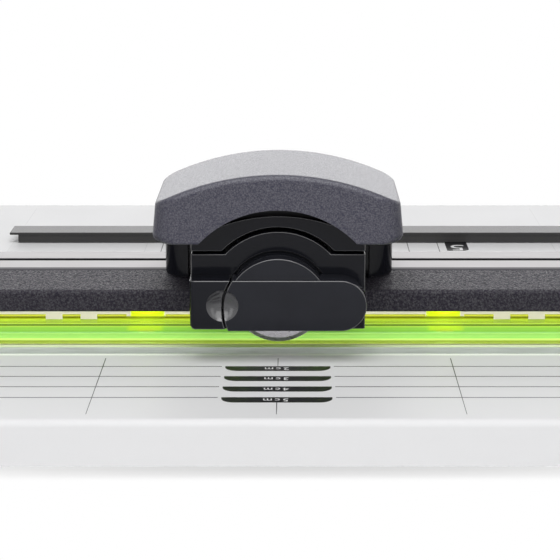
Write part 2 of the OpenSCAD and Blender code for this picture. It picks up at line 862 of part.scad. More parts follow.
module rail_screws() {
  seat = bracket_in + bracket_w - head_h - pass_gap;
  color([0.55, 0.55, 0.57]) at_cut() both_sides() at_rail_ports() {
    translate([seat, 0, 0]) rotate([0, 90, 0]) screw(seat - bracket_in - pocket_d + screw_bite);
  }
}

// Clamp
module clamp_strip() {
  rear = clamp_front + clamp_d;
  ridge_y = clamp_front + lip_d - ridge_w;
  color([0.62, 0.90, 0.15, 0.8]) at_cut() difference() {
    union() {
      along_x(-clamp_len / 2, clamp_len / 2) {
        rect(clamp_front, clamp_front + lip_d, clamp_lift, lip_z);
        rect(clamp_front, rear, clamp_lift, clamp_lift + plate_t);
        rect(ridge_y, ridge_y + ridge_w, lip_z - tiny, lip_z + ridge_h);
      }
      at_bosses() {
        z_rod(boss_r, clamp_lift + tiny, boss_top);
        z_rod(boss_foot_r, clamp_lift + tiny, clamp_lift + plate_t + 1);
      }
    }
    both_sides() for (s = [-1, 1]) {
      gap_x = tab_x + s * (ridge_tab + ridge_gap) / 2;
      block(gap_x - ridge_gap / 2, gap_x + ridge_gap / 2, ridge_y - 1, ridge_y + ridge_w + tiny, lip_z, rail_bottom);
    }
    at_bosses() z_rod(screw_r + fit_gap, web_z - clamp_screw_l - pass_gap, boss_top + 1);
  }
}

module clamp_screws() {
  color([0.55, 0.55, 0.57]) at_cut() at_bosses() {
    translate([0, 0, web_z + web_t]) screw(clamp_screw_l + web_t, screw_r, head_r, clamp_head_h);
  }
}

module clamp_springs() {
  color([0.65, 0.65, 0.66]) at_cut() at_bosses() difference() {
    z_rod(boss_r - 0.8, boss_top, web_z);
    z_rod(screw_r + 0.8, boss_top - 1, web_z + 1);
  }
}

// Carriage
module carriage_body() {
  lip_z0 = strip_z - lip_drop;
  shoe_top = strip_z + shoe_in;
  color([0.13, 0.13, 0.14]) at_head() difference() {
    intersection() {
      along_x(-carriage_half, carriage_half) polygon([
        [carriage_front, top_z(carriage_front) + pass_gap], [cover_rear, cover_rear_z + pass_gap],
        [rail_rear + pass_gap, cover_rear_z + pass_gap], [rail_rear + pass_gap, lip_z0], [carriage_rear, lip_z0],
        [carriage_rear, carriage_top], [carriage_front, carriage_top]
      ]);
      linear_extrude(carriage_top + 1) {
        round_rect(-carriage_half, carriage_half, carriage_front, carriage_rear, carriage_r, carriage_rear_r);
      }
    }
    both_sides() {
      block(head_half - 1, head_half + bay_gap, carriage_front - 1, carriage_front + bay_d, 0, carriage_top + 1);
    }
    at_pins() z_rod(pin_r + fit_gap, pin_foot, carriage_top + 1);
    at_pins() z_rod(pin_boss_r + pass_gap, spring_z, carriage_top + 1);
    block(-shoe_l / 2 - fit_gap, shoe_l / 2 + fit_gap, slot_y - slot_w / 2, slot_y + slot_w / 2, strip_z - 1, shoe_top);
    at_shoe_screws() z_rod(screw_r + fit_gap, strip_z, carriage_top + 1);
    at_shoe_screws() z_rod(head_r + pass_gap, carriage_top - head_h - pass_gap, carriage_top + 1);
    at_pads(fit_gap, strip_z - 1);
  }
}

// The pads' places, as blocks that are grown by a gap
module at_pads(gap, z0) {
  for (y = [(cover_rear + slot_y - slot_w / 2) / 2, (rail_rear + slot_y + slot_w / 2) / 2]) {
    both_sides() translate([carriage_half - pad_l, y, 0]) {
      block(-pad_l / 2 - gap, pad_l / 2 + gap, -pad_w / 2 - gap, pad_w / 2 + gap, z0, strip_z + pad_t);
    }
  }
}

module glide_pads() {
  color([0.92, 0.91, 0.88]) at_head() at_pads(0, strip_z + run_gap);
}

module guide_shoe() {
  neck = slot_w / 2 - run_gap * 2;
  foot = slot_wide / 2 - pass_gap;
  color([0.92, 0.91, 0.88]) at_head() difference() {
    along_x(-shoe_l / 2, shoe_l / 2) {
      rect(slot_y - neck, slot_y + neck, strip_z - slot_lip - 1, strip_z + shoe_in);
      rect(slot_y - foot, slot_y + foot, strip_z - slot_lip - slot_h + pass_gap, strip_z - slot_lip - run_gap);
    }
    at_shoe_screws() z_rod(shoe_tip_r + fit_gap, strip_z - slot_lip - 1, strip_z + shoe_in + 1);
  }
}

module shoe_screws() {
  seat = carriage_top - head_h - pass_gap;
  color([0.55, 0.55, 0.57]) at_head() at_shoe_screws() {
    translate([0, 0, seat]) screw(seat - strip_z - shoe_in);
    z_rod(shoe_tip_r, strip_z - slot_lip, strip_z + shoe_in + tiny);
  }
}

module guide_pins() {
  color([0.75, 0.76, 0.78]) at_head() at_pins() z_rod(pin_r, pin_foot, pin_top);
}

module press_springs() {
  color([0.65, 0.65, 0.66]) at_head() at_pins() difference() {
    z_rod(pin_boss_r - pass_gap, spring_z, pin_boss_z);
    z_rod(pin_r + pass_gap, spring_z - 1, pin_boss_z + 1);
  }
}

// Head
module head_frame() {
  frame_top = plate_z + frame_plate_t;
  shoulder = housing_top + shoulder_gap;
  color([0.12, 0.12, 0.13]) at_head() difference() {
    union() {
      block(-head_half, head_half, -face_y, frame_back, shoulder, frame_top);
      block(-head_half, head_half, housing_back, frame_back, frame_foot, shoulder + tiny);
      translate([0, 0, plate_z]) linear_extrude(frame_plate_t) {
        r = handle_corner_r - handle_wall;
        round_rect(-frame_half, frame_half, -face_y, frame_rear, tiny, r);
      }
      at_pins() z_rod(pin_boss_r, pin_boss_z, plate_z + tiny);
    }
    translate([0, 0, axis_z]) y_rod(housing_arch + arch_gap, -face_y - 1, housing_back);
    along_y(-face_y - 1, fascia_step - face_y) difference() {
      rect(-frame_half - 1, frame_half + 1, handle_foot, frame_top + 1);
      translate([0, fascia_z - fascia_r]) circle(fascia_r);
    }
    at_pins() z_rod(pin_r + run_gap, pin_boss_z - 1, frame_top + 1);
    at_handle_screws() z_rod(screw_r + fit_gap, plate_z - 1, frame_top + 1);
    at_housing_screws() y_rod(screw_r + fit_gap, housing_back - 1, frame_back + 1);
    at_housing_screws() y_rod(head_r + pass_gap, frame_back - head_h - pass_gap, frame_back + 1);
  }
}

// The handle's block, drawn in by a wall: a rounded plan under a curved roof
module handle_form(wall) {
  x = handle_half - wall;
  y0 = wall - handle_front;
  y1 = handle_back - wall;
  r = handle_corner_r - wall;
  intersection() {
    along_y(y0 - 1, y1 + 1) intersection() {
      rect(-handle_half - 1, handle_half + 1, handle_foot - wall, handle_crown + 1);
      translate([0, handle_crown - roof_r]) circle(roof_r - wall);
    }
    linear_extrude(handle_crown + 1) round_rect(-x, x, y0, y1, r, r);
  }
}

module handle_cap() {
  frame_top = plate_z + frame_plate_t;
  color([0.30, 0.29, 0.32]) at_head() difference() {
    union() {
      difference() {
        handle_form(0);
        handle_form(handle_wall);
        translate([0, 0, axis_z]) y_rod(handle_arch, -handle_front - 1, -face_y);
      }
      intersection() {
        at_handle_screws() z_rod(handle_boss_r, frame_top, handle_crown);
        handle_form(handle_wall / 2);
      }
    }
    at_handle_screws() z_rod(screw_r + fit_gap, plate_z, frame_top + handle_bite + pass_gap);
  }
}

module handle_screws() {
  color([0.55, 0.55, 0.57]) at_head() at_handle_screws() {
    translate([0, 0, plate_z]) rotate([180, 0, 0]) screw(frame_plate_t + handle_bite);
  }
}

module blade_housing() {
  arch_in = housing_arch - housing_wall;
  half_in = head_half - housing_wall;
  face_in = housing_wall + disc_recess - face_y;
  color([0.12, 0.12, 0.13]) at_head() difference() {
    union() {
      difference() {
        along_y(-face_y, housing_back) {
          rect(-head_half, head_half, housing_foot, housing_top);
          translate([0, axis_z]) circle(housing_arch);
        }
        along_y(face_in, housing_back + 1) {
          rect(-half_in, half_in, 0, housing_top - housing_wall);
          translate([0, axis_z]) circle(arch_in);
        }
        block(-head_half, head_half, -face_y - 1, housing_back + 1, axis_z - 2 * housing_arch, housing_foot);
      }
      translate([0, 0, axis_z]) y_rod(axle_boss_r, face_in - tiny, boss_back);
      at_housing_screws() y_rod(screw_r + 1.6, face_in - tiny, housing_back);
      intersection() {
        along_y(-lever_front, tiny - face_y) difference() {
          rect(-head_half, 0, block_foot, arm_foot + arm_h);
          translate([0, axis_z]) circle(split_r);
          corner_cut(-head_half, block_foot, 1, 1, block_r);
        }
        linear_extrude(housing_top) difference() {
          rect(-head_half, 0, -lever_front, 0);
          corner_cut(-head_half, -lever_front, 1, 1, block_side_r);
        }
      }
    }
    translate([0, 0, axis_z]) y_rod(recess_r, -face_y - 1, disc_recess - face_y);
    translate([0, 0, axis_z]) y_rod(axle_r + fit_gap, -face_y, boss_back + 1);
    at_housing_screws() y_rod(screw_r + fit_gap, face_in + 0.5, housing_back + 1);
    dimple();
  }
}

module dimple() {
  translate([-(lever_end_r + split_r) / 2, -lever_front - dimple_ball + dimple_d, dimple_z]) sphere(dimple_ball);
}

module housing_screws() {
  seat = frame_back - head_h - pass_gap;
  color([0.55, 0.55, 0.57]) at_head() at_housing_screws() {
    translate([0, seat, 0]) rotate([-90, 0, 0]) screw(seat + 3);
  }
}

module blade_axle() {
  neck_r = axle_r - 0.7;
  color([0.75, 0.76, 0.78]) at_axis() {
    y_rod(axle_r, -lever_seat, ring_back);
    y_rod(neck_r, ring_back - tiny, clip_front + clip_t + fit_gap + 0.3);
    y_rod(axle_r - 0.3, clip_front + clip_t + fit_gap, clip_front + clip_t + fit_gap + 0.3);
  }
}

module axle_clip() {
  color([0.45, 0.45, 0.47]) at_axis() difference() {
    y_rod(clip_r, clip_front, clip_front + clip_t);
    y_rod(axle_r - 0.7 + fit_gap, clip_front - 1, clip_front + clip_t + 1);
  }
}

module pressure_spring() {
  color([0.65, 0.65, 0.66]) at_axis() difference() {
    y_rod(axle_boss_r - 1, boss_back, flange_front - fit_gap);
    y_rod(axle_r + 0.6, boss_back - 1, flange_front + 1);
  }
}

module rotary_blade() {
  color([0.74, 0.76, 0.78]) at_axis() difference() {
    union() {
      y_rod(blade_r - bevel_w, blade_front, blade_back);
      translate([0, blade_front, 0]) rotate([-90, 0, 0]) {
        cylinder(r1 = blade_r - bevel_w, r2 = blade_r - 0.05, h = blade_t * 0.8);
      }
      y_rod(blade_r, blade_back - blade_t * 0.2, blade_back);
    }
    y_rod(sleeve_r + fit_gap, blade_front - 1, blade_back + 1);
  }
}

module blade_hub() {
  color([0.83, 0.69, 0.40]) at_axis() difference() {
    union() {
      y_rod(flange_r, flange_front, blade_front);
      y_rod(sleeve_r, blade_front - tiny, ring_back);
    }
    y_rod(axle_r + run_gap, flange_front - 1, ring_back + 1);
  }
}

module hub_ring() {
  color([0.60, 0.61, 0.63]) at_axis() difference() {
    y_rod(ring_r, blade_back, ring_back);
    y_rod(sleeve_r + fit_gap, blade_back - 1, ring_back + 1);
  }
}

module cover_lever() {
  arm_back = face_y + pass_gap;
  end_x = arm_reach - arm_end_r;
  color([0.12, 0.12, 0.13]) at_head() difference() {
    union() {
      along_y(-lever_front, -arm_back) {
        intersection() {
          rect(-lever_end_r, 0, arm_foot, arm_foot + arm_h);
          translate([0, axis_z]) circle(lever_end_r);
        }
        rect(-tiny, end_x, arm_foot, arm_foot + arm_h);
        translate([end_x, arm_mid_z]) circle(arm_end_r);
      }
      along_y(lever_step - lever_front, -lever_back) intersection() {
        translate([0, axis_z]) circle(cover_disc_r);
        rect(-cover_disc_r, cover_disc_r, arm_foot, axis_z + cover_disc_r);
      }
    }
    translate([0, 0, axis_z]) y_rod(axle_r + run_gap, -lever_seat - pass_gap, 0);
    dimple();
  }
}

// Back stop
module side_guide() {
  at_cut() difference() {
    translate([guide_x, 0, 0]) along_y(guide_front, guide_rear) difference() {
      rect(-guide_w / 2, guide_w / 2, 0, guide_h);
      rect(-guide_slot / 2, guide_slot / 2, slot_floor, guide_h + 1);
      rect(-guide_slot_wide / 2, guide_slot_wide / 2, slot_floor, slot_top);
    }
    at_guide_screws() z_rod(screw_r + fit_gap, -1, slot_floor - 0.6);
  }
}

module side_guide_left() {
  color([0.17, 0.17, 0.18]) mirror([1, 0, 0]) side_guide();
}

module side_guide_right() {
  color([0.17, 0.17, 0.18]) side_guide();
}

module guide_screws() {
  seat = table_h - head_h - pass_gap;
  color([0.55, 0.55, 0.57]) at_cut() at_guide_screws() {
    translate([0, 0, -seat]) rotate([180, 0, 0]) screw(seat + slot_floor - 1);
  }
}

module stop_bar() {
  foot_z = 0.2;
  plate_z0 = stop_h - stop_plate_t;
  y1 = stop_y + stop_foot_d;
  color([0.20, 0.20, 0.21]) at_cut() difference() {
    union() {
      block(stop_left, stop_right, stop_y, y1, foot_z, plate_z0 + tiny);
      block(stop_left - stop_end_over, stop_right, stop_y - stop_over, y1 + stop_over, plate_z0, stop_h);
    }
    at_lug_screws() z_rod(screw_r + fit_gap, -1, stop_h + 1);
  }
}

module at_lug_screws() {
  for (x = lug_xs) {
    translate([x, stop_mid, 0]) children();
  }
}

module stop_slider() {
  y0 = stop_mid - slider_l / 2;
  cheek = guide_w / 2 + fit_gap;
  lug_z = stop_h + lug_t;
  color([0.15, 0.15, 0.16]) at_cut() difference() {
    union() {
      translate([guide_x, 0, 0]) along_y(y0, y0 + slider_l) difference() {
        round_rect(-slider_half, slider_half, 0.4, knob_z, tiny, 2);
        rect(-cheek, cheek, -1, slider_z);
      }
      block(stop_right - lug_l, guide_x - cheek - tiny, stop_y - stop_over, stop_y + stop_foot_d + stop_over, stop_h, lug_z);
    }
    translate([guide_x, stop_mid, 0]) z_rod(stud_r + run_gap, slider_z - 1, knob_z + 1);
    at_lug_screws() z_rod(screw_r + fit_gap, 0, lug_z + 1);
    at_lug_screws() z_rod(head_r + pass_gap, lug_z - head_h - pass_gap, lug_z + 1);
  }
}

module stop_screws() {
  seat = stop_h + lug_t - head_h - pass_gap;
  color([0.55, 0.55, 0.57]) at_cut() at_lug_screws() translate([0, 0, seat]) screw(seat - 0.6);
}

module stop_nut() {
  half = guide_slot_wide / 2 - pass_gap;
  color([0.62, 0.63, 0.65]) at_cut() translate([guide_x, stop_mid, 0]) difference() {
    block(-half, half, -half - 1, half + 1, slot_floor + pass_gap, slot_top - run_gap);
    z_rod(stud_r + run_gap, slot_floor - 1, slot_top + 1);
  }
}

module stop_knob() {
  color([0.13, 0.13, 0.14]) at_cut() translate([guide_x, stop_mid, 0]) {
    z_rod(stud_r, slot_floor + pass_gap, knob_z + 1);
    difference() {
      union() {
        z_rod(knob_r, knob_z + run_gap, knob_z + knob_h - 1);
        translate([0, 0, knob_z + knob_h - 1 - tiny]) cylinder(r1 = knob_r, r2 = knob_r - 1, h = 1);
      }
      for (i = [0 : knob_flutes - 1]) {
        rotate([0, 0, i * 360 / knob_flutes]) translate([knob_r + 0.6, 0, 0]) {
          z_rod(1.4, knob_z + 1.5, knob_z + knob_h + 1);
        }
      }
    }
  }
}

front_table();
rear_table();
cross_beam();
end_cap_left();
end_cap_right();
cap_screws();
rubber_feet();
counter_knife();
knife_screws();
guide_rail();
rail_cover();
rail_bracket_left();
rail_bracket_right();
bracket_screws();
rail_screws();
clamp_strip();
clamp_screws();
clamp_springs();
carriage_body();
glide_pads();
guide_shoe();
shoe_screws();
guide_pins();
press_springs();
head_frame();
handle_cap();
handle_screws();
blade_housing();
housing_screws();
blade_axle();
axle_clip();
pressure_spring();
rotary_blade();
blade_hub();
hub_ring();
cover_lever();
side_guide_left();
side_guide_right();
guide_screws();
stop_bar();
stop_slider();
stop_screws();
stop_nut();
stop_knob();
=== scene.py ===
"""Dresses the rolling paper trimmer: finishes, rounded edges, printed scale, light, floor and camera.

Everything is in metres in the part's own frame: +X along the rail, +Y away from the user, +Z up.
"""

import math

import bmesh
import bpy
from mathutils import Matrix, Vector


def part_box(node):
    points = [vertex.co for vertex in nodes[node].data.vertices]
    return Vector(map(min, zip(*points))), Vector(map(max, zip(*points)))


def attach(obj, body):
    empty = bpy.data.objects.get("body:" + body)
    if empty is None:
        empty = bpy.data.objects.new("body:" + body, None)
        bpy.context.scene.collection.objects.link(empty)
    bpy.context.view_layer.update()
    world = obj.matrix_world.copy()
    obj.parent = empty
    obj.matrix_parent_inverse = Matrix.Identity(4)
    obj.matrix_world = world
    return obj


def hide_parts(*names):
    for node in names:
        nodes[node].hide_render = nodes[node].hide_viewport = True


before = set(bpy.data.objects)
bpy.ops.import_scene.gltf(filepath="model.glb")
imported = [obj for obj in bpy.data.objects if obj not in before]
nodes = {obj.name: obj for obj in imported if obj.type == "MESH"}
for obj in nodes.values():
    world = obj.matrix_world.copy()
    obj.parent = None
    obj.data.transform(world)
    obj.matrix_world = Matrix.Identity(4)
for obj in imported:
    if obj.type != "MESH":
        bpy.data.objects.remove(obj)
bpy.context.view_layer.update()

MM = 0.001
TABLE_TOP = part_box("front_table")[1].z
# The cut line runs this far in front of the counter knife
KNIFE_FACE = 0.4 * MM
CUT_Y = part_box("counter_knife")[0].y - KNIFE_FACE
HEAD_X = (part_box("handle_cap")[0].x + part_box("handle_cap")[1].x) / 2


# Materials


class Graph:
    """A material's node tree, with short calls that add nodes and join them."""

    def __init__(self, name):
        self.material = bpy.data.materials.new(name)
        self.material.use_nodes = True
        self.tree = self.material.node_tree
        self.shader = self.tree.nodes["Principled BSDF"]
        coordinates = self.tree.nodes.new("ShaderNodeTexCoord")
        self.place = coordinates.outputs["Object"]

    def feed(self, socket, value):
        """Joins an output to an input, or sets the input's own value."""
        if isinstance(value, bpy.types.NodeSocket):
            self.tree.links.new(value, socket)
        elif isinstance(value, tuple) and len(value) == 3 and socket.type == "RGBA":
            socket.default_value = (*value, 1.0)
        else:
            socket.default_value = value

    def node(self, kind, settings=None, **values):
        made = self.tree.nodes.new(kind)
        for key, value in (settings or {}).items():
            setattr(made, key, value)
        for key, value in values.items():
            self.feed(made.inputs[key.replace("_", " ")], value)
        return made

    def set(self, **values):
        """Feeds the shader's own inputs."""
        for key, value in values.items():
            self.feed(self.shader.inputs[key.replace("_", " ")], value)

    def axis(self, letter):
        return self.node("ShaderNodeSeparateXYZ", Vector=self.place).outputs[letter]

    def stretched(self, x, y, z):
        return self.node("ShaderNodeMapping", Vector=self.place, Scale=(x, y, z)).outputs[0]

    def noise(self, size, detail=3.0, rough=0.5, vector=None):
        """Noise from 0 to 1 whose blobs are about size metres across."""
        made = self.node("ShaderNodeTexNoise", Vector=vector or self.place, Scale=1 / size,
                         Detail=detail, Roughness=rough)
        return made.outputs["Fac"]

    def cells(self, size):
        made = self.node("ShaderNodeTexVoronoi", {"feature": "SMOOTH_F1"}, Vector=self.place,
                         Scale=1 / size, Smoothness=0.6)
        return made.outputs["Distance"]

    def spread(self, value, low, high, start=0.3, end=0.7):
        """Takes a value between start and end to one between low and high."""
        made = self.node("ShaderNodeMapRange", Value=value, From_Min=start, From_Max=end,
                         To_Min=low, To_Max=high)
        return made.outputs["Result"]

    def mix(self, factor, a, b):
        made = self.node("ShaderNodeMix", {"data_type": "RGBA"})
        self.feed(made.inputs["Factor"], factor)
        self.feed(made.inputs[6], a)
        self.feed(made.inputs[7], b)
        return made.outputs[2]

    def calc(self, operation, *values):
        made = self.node("ShaderNodeMath", {"operation": operation})
        for socket, value in zip(made.inputs, values):
            self.feed(socket, value)
        return made.outputs[0]

    def add(self, a, b, weight):
        """a plus b times weight."""
        return self.calc("MULTIPLY_ADD", b, weight, a)

    def both(self, a, b):
        return self.calc("MULTIPLY", a, b)

    def within(self, value, low, high):
        """1 between low and high, 0 elsewhere."""
        return self.both(self.calc("GREATER_THAN", value, low), self.calc("LESS_THAN", value, high))

    def bump(self, height, depth):
        made = self.node("ShaderNodeBump", Height=height, Distance=depth, Strength=1.0)
        self.set(Normal=made.outputs[0])


def shades(colour, amount):
    """A darker and a lighter tone of a colour."""
    return tuple(c * (1 - amount) for c in colour), tuple(c * (1 + amount) for c in colour)


def even_shades(colour, amount):
    """A darker and a lighter tone that keep a colour's tint."""
    step = amount * min(colour)
    return tuple(c - step for c in colour), tuple(c + step for c in colour)


# Grain of moulded plastic: its fine noise against its pits, and the tone of a smooth rim
FINE_SIZE = 0.5
FINE_HEIGHT = 0.8
PIT_SHADE = -0.35
GRAIN_DARK = 0.22
GRAIN_LIGHT = 0.52
RIM_TONE = 0.6


def grained_plastic(name, colour, grain, depth, roughness, coat=0.0, speckle=0.3, spark=0.05,
                    specular=0.5, border=None):
    """Moulded plastic with a leathery grain whose bumps are about grain metres across.

    speckle is how much its tones differ, and spark how much its roughness does. border gives the y
    where the grain ends in a seam and the y where the smooth rim behind it starts.
    """
    g = Graph(name)
    low, high = even_shades(colour, speckle)
    fine = g.noise(grain * FINE_SIZE, detail=4.0, rough=0.65)
    pits = g.cells(grain)
    tone = g.spread(g.add(fine, pits, PIT_SHADE), 0, 1, GRAIN_DARK, GRAIN_LIGHT)
    height = g.add(pits, fine, FINE_HEIGHT)
    if border:
        y = g.axis("Y")
        grained = g.calc("LESS_THAN", y, border[0])
        rim = g.calc("GREATER_THAN", y, border[1])
        tone = g.add(g.both(tone, grained), rim, RIM_TONE)
        height = g.both(height, grained)
    g.set(Base_Color=g.mix(tone, low, high))
    g.set(Roughness=g.spread(tone, roughness + spark, roughness - spark, 0, 1))
    g.set(Specular_IOR_Level=specular, Coat_Weight=coat, Coat_Roughness=0.3)
    g.bump(height, depth)
    return g.material


def gloss_plastic(name, colour, roughness, specular=0.5, coat=0.0):
    """Polished plastic with faint flow marks."""
    g = Graph(name)
    low, high = shades(colour, amount=0.18)
    g.set(Base_Color=g.mix(g.noise(9 * MM, detail=5.0), low, high))
    flow = g.noise(14 * MM, detail=6.0, rough=0.65)
    g.set(Roughness=g.spread(flow, roughness - 0.03, roughness + 0.05))
    g.set(Specular_IOR_Level=specular, Coat_Weight=coat, Coat_Roughness=0.08)
    g.bump(g.noise(2.2 * MM, detail=2.0), depth=0.003 * MM)
    return g.material


def painted_sheet(name, colour, roughness, specular):
    g = Graph(name)
    low, high = shades(colour, amount=0.018)
    g.set(Base_Color=g.mix(g.noise(0.5 * MM, detail=5.0, rough=0.7), low, high))
    g.set(Roughness=g.spread(g.noise(30 * MM), roughness - 0.03, roughness + 0.03))
    g.set(Specular_IOR_Level=specular)
    g.bump(g.noise(1.8 * MM, detail=2.0), depth=0.006 * MM)
    return g.material


BRUSH_LINES = 0.25 * MM
BRUSH_STRETCH = (0.02, 1.0, 1.0)


def brushed_metal(name, colour, roughness, patch=None):
    """Metal with brush lines along the rail.

    patch gives the range of y, the range of z and the plain, not metallic colour painted on that stretch,
    used for painted shade or a painted reflection.
    """
    g = Graph(name)
    streaks = g.noise(BRUSH_LINES, detail=4.0, rough=0.6, vector=g.stretched(*BRUSH_STRETCH))
    low, high = shades(colour, amount=0.08)
    tone = g.mix(g.spread(streaks, 0, 1), low, high)
    metal = 1.0
    if patch:
        y_range, z_range, cover = patch
        inside = g.both(g.within(g.axis("Y"), *y_range), g.within(g.axis("Z"), *z_range))
        tone = g.mix(inside, tone, cover)
        metal = g.spread(inside, 1, 0, 0, 1)
    g.set(Base_Color=tone, Metallic=metal)
    g.set(Roughness=g.spread(streaks, roughness - 0.06, roughness + 0.08))
    g.bump(streaks, depth=0.002 * MM)
    return g.material


def turned_metal(name, colour, roughness):
    g = Graph(name)
    low, high = shades(colour, amount=0.12)
    wear = g.noise(3 * MM)
    g.set(Base_Color=g.mix(wear, low, high), Metallic=1.0)
    g.set(Roughness=g.spread(wear, roughness - 0.05, roughness + 0.1))
    g.bump(g.noise(0.6 * MM, detail=2.0), depth=0.001 * MM)
    return g.material


def soft_rubber(name, colour):
    g = Graph(name)
    low, high = shades(colour, amount=0.25)
    dust = g.noise(2.5 * MM, detail=5.0, rough=0.6)
    g.set(Base_Color=g.mix(dust, low, high), Roughness=g.spread(dust, 0.72, 0.9))
    g.bump(g.noise(0.5 * MM), depth=0.02 * MM)
    return g.material


def printed_ink(name, colour):
    g = Graph(name)
    low, high = shades(colour, amount=0.10)
    dots = g.noise(0.12 * MM, rough=0.7)
    g.set(Base_Color=g.mix(dots, low, high), Roughness=g.spread(dots, 0.30, 0.40))
    g.set(Specular_IOR_Level=0.25)
    return g.material


# Bands of tone up the clear strip from its foot, each with its lowest and highest point in mm above the
# table and its tone. They paint the light and shade of its mouldings: painted shade at the undercut,
# groove and ridge foot, and painted highlights at the bright edge, rib, shoulder, lip and ridge top
CLAMP_FOOT = (0.3, 0.5, (0.58, 0.63, 0.16))
CLAMP_UNDERCUT_SHADE = (0.8, 1.3, (0.40, 0.46, 0.06))
CLAMP_EDGE_HIGHLIGHT = (1.75, 1.95, (0.82, 0.98, 0.24))
CLAMP_LOWER_FACE = (2.3, 3.5, (0.22, 0.58, 0.12))
CLAMP_RIB_HIGHLIGHT = (3.85, 4.0, (0.44, 0.94, 0.28))
CLAMP_UPPER_FACE = (4.3, 5.4, (0.42, 0.78, 0.09))
CLAMP_SHOULDER_HIGHLIGHT = (5.75, 5.85, (0.72, 0.97, 0.12))
CLAMP_GROOVE_SHADE = (6.1, 6.45, (0.15, 0.21, 0.01))
CLAMP_LIP_HIGHLIGHT = (6.6, 6.7, (0.75, 0.98, 0.09))
CLAMP_RIDGE_SHADOW = (7.25, 7.55, (0.12, 0.13, 0.00))
CLAMP_RIDGE_HIGHLIGHT = (8.0, 8.3, (0.66, 0.66, 0.08))
CLAMP_PAINTED_BANDS = (CLAMP_FOOT, CLAMP_UNDERCUT_SHADE, CLAMP_EDGE_HIGHLIGHT, CLAMP_LOWER_FACE, CLAMP_RIB_HIGHLIGHT,
               CLAMP_UPPER_FACE, CLAMP_SHOULDER_HIGHLIGHT, CLAMP_GROOVE_SHADE, CLAMP_LIP_HIGHLIGHT, CLAMP_RIDGE_SHADOW,
               CLAMP_RIDGE_HIGHLIGHT)
BAND_WAVE = 0.25 * MM

# Its bosses are painted onto its face between two heights, as they would be seen through it, and stand
# bare above a third
BOSS_PITCH = 89.4 * MM
BOSS_FOOT_R = 5.8 * MM
BOSS_TONE = (0.84, 0.98, 0.02)
BOSS_FRONT = CUT_Y + 8.15 * MM
BOSS_LOW = TABLE_TOP + 4.2 * MM
BOSS_HIGH = TABLE_TOP + 6.0 * MM
BOSS_BARE = TABLE_TOP + 6.65 * MM
BOSS_SIDE_FADE = 1.4 * MM
BOSS_END_FADE = 0.4 * MM
BOSS_SHOWS = 0.7

# The share of its tone that its face, its ridge and its bosses give off as a painted glow: a fixed
# emission that no lamp drives, standing in for the light its fluorescent edges gather
CLAMP_PAINTED_GLOW = 0.70
FACE_GLOW_SHARE = 0.26
RIDGE_GLOW_SHARE = 0.36
BOSS_GLOW_SHARE = 0.44
GLOW_RISE_LOW = TABLE_TOP + 6.3 * MM
GLOW_RISE_HIGH = TABLE_TOP + 6.9 * MM


def neon_acrylic(name):
    """Clear fluorescent plastic with painted bands of highlight and shade up its face, its bosses painted
    on as seen through it, and a painted glow.
    """
    g = Graph(name)
    height = g.axis("Z")
    wave = g.noise(30 * MM, vector=g.stretched(0.25, 1, 1))
    stops = [(at * MM, colour) for low, high, colour in CLAMP_PAINTED_BANDS for at in (low, high)]
    top = stops[-1][0]
    share = g.spread(g.add(height, wave, BAND_WAVE), 0, 1, TABLE_TOP, TABLE_TOP + top)
    ramp = g.node("ShaderNodeValToRGB", Fac=share)
    elements = ramp.color_ramp.elements
    for k, (at, colour) in enumerate(stops):
        stop = elements[k] if k < 2 else elements.new(at / top)
        stop.position = at / top
        stop.color = (*colour, 1.0)
    from_middle = g.calc("PINGPONG", g.axis("X"), BOSS_PITCH / 2)
    boss_side = BOSS_PITCH / 2 - BOSS_FOOT_R
    behind = g.spread(from_middle, 0, BOSS_SHOWS, boss_side, boss_side + BOSS_SIDE_FADE)
    behind = g.both(behind, g.spread(height, 0, 1, BOSS_LOW, BOSS_LOW + BOSS_END_FADE))
    behind = g.both(behind, g.spread(height, 1, 0, BOSS_HIGH - BOSS_END_FADE, BOSS_HIGH))
    bare = g.both(g.calc("GREATER_THAN", g.axis("Y"), BOSS_FRONT),
                  g.calc("GREATER_THAN", height, BOSS_BARE))
    tone = g.mix(behind, ramp.outputs["Color"], BOSS_TONE)
    tone = g.mix(bare, tone, BOSS_TONE)
    g.set(Base_Color=tone, Transmission_Weight=0.6, IOR=1.4)
    g.set(Roughness=g.spread(g.noise(6 * MM), 0.03, 0.08))
    # Painted glow: weak on the face, stronger on the ridge and strongest on the bare bosses
    glow_share = g.spread(height, FACE_GLOW_SHARE, RIDGE_GLOW_SHARE, GLOW_RISE_LOW, GLOW_RISE_HIGH)
    glow_share = g.add(glow_share, bare, BOSS_GLOW_SHARE)
    g.set(Emission_Color=g.mix(glow_share, (0, 0, 0), tone), Emission_Strength=CLAMP_PAINTED_GLOW)
    g.bump(g.noise(4 * MM, detail=1.0), depth=0.01 * MM)
    return g.material


# Painted shade in the rail's slot: a black stretch under the rail's bare top, where shade falls in the
# slot
SLOT_NEAR = CUT_Y + 30 * MM
SLOT_FAR = CUT_Y + 40 * MM
SLOT_DOWN = 0.12 * MM
SLOT_SHADE_BLACK = (0.006, 0.006, 0.007)
RAIL_SLOT_SHADE = ((SLOT_NEAR, SLOT_FAR), (0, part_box("guide_rail")[1].z - SLOT_DOWN), SLOT_SHADE_BLACK)

# Painted reflection on the counter knife's ground top, behind its edge: a pale cream stretch for the
# light of the clear strip that it mirrors
LAND_BACK = 0.8 * MM
LAND_SKIN = 0.05 * MM
LAND_PAINTED_SHEEN = (0.95, 0.97, 0.80)
knife_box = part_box("counter_knife")
KNIFE_LAND_SHEEN = ((knife_box[0].y + LAND_BACK, knife_box[1].y + MM),
              (knife_box[1].z - LAND_SKIN, knife_box[1].z + MM), LAND_PAINTED_SHEEN)

# Where the rail cover's grain ends, and where its smooth rim starts
COVER_BORDER = (CUT_Y + 20.6 * MM, CUT_Y + 21.6 * MM)

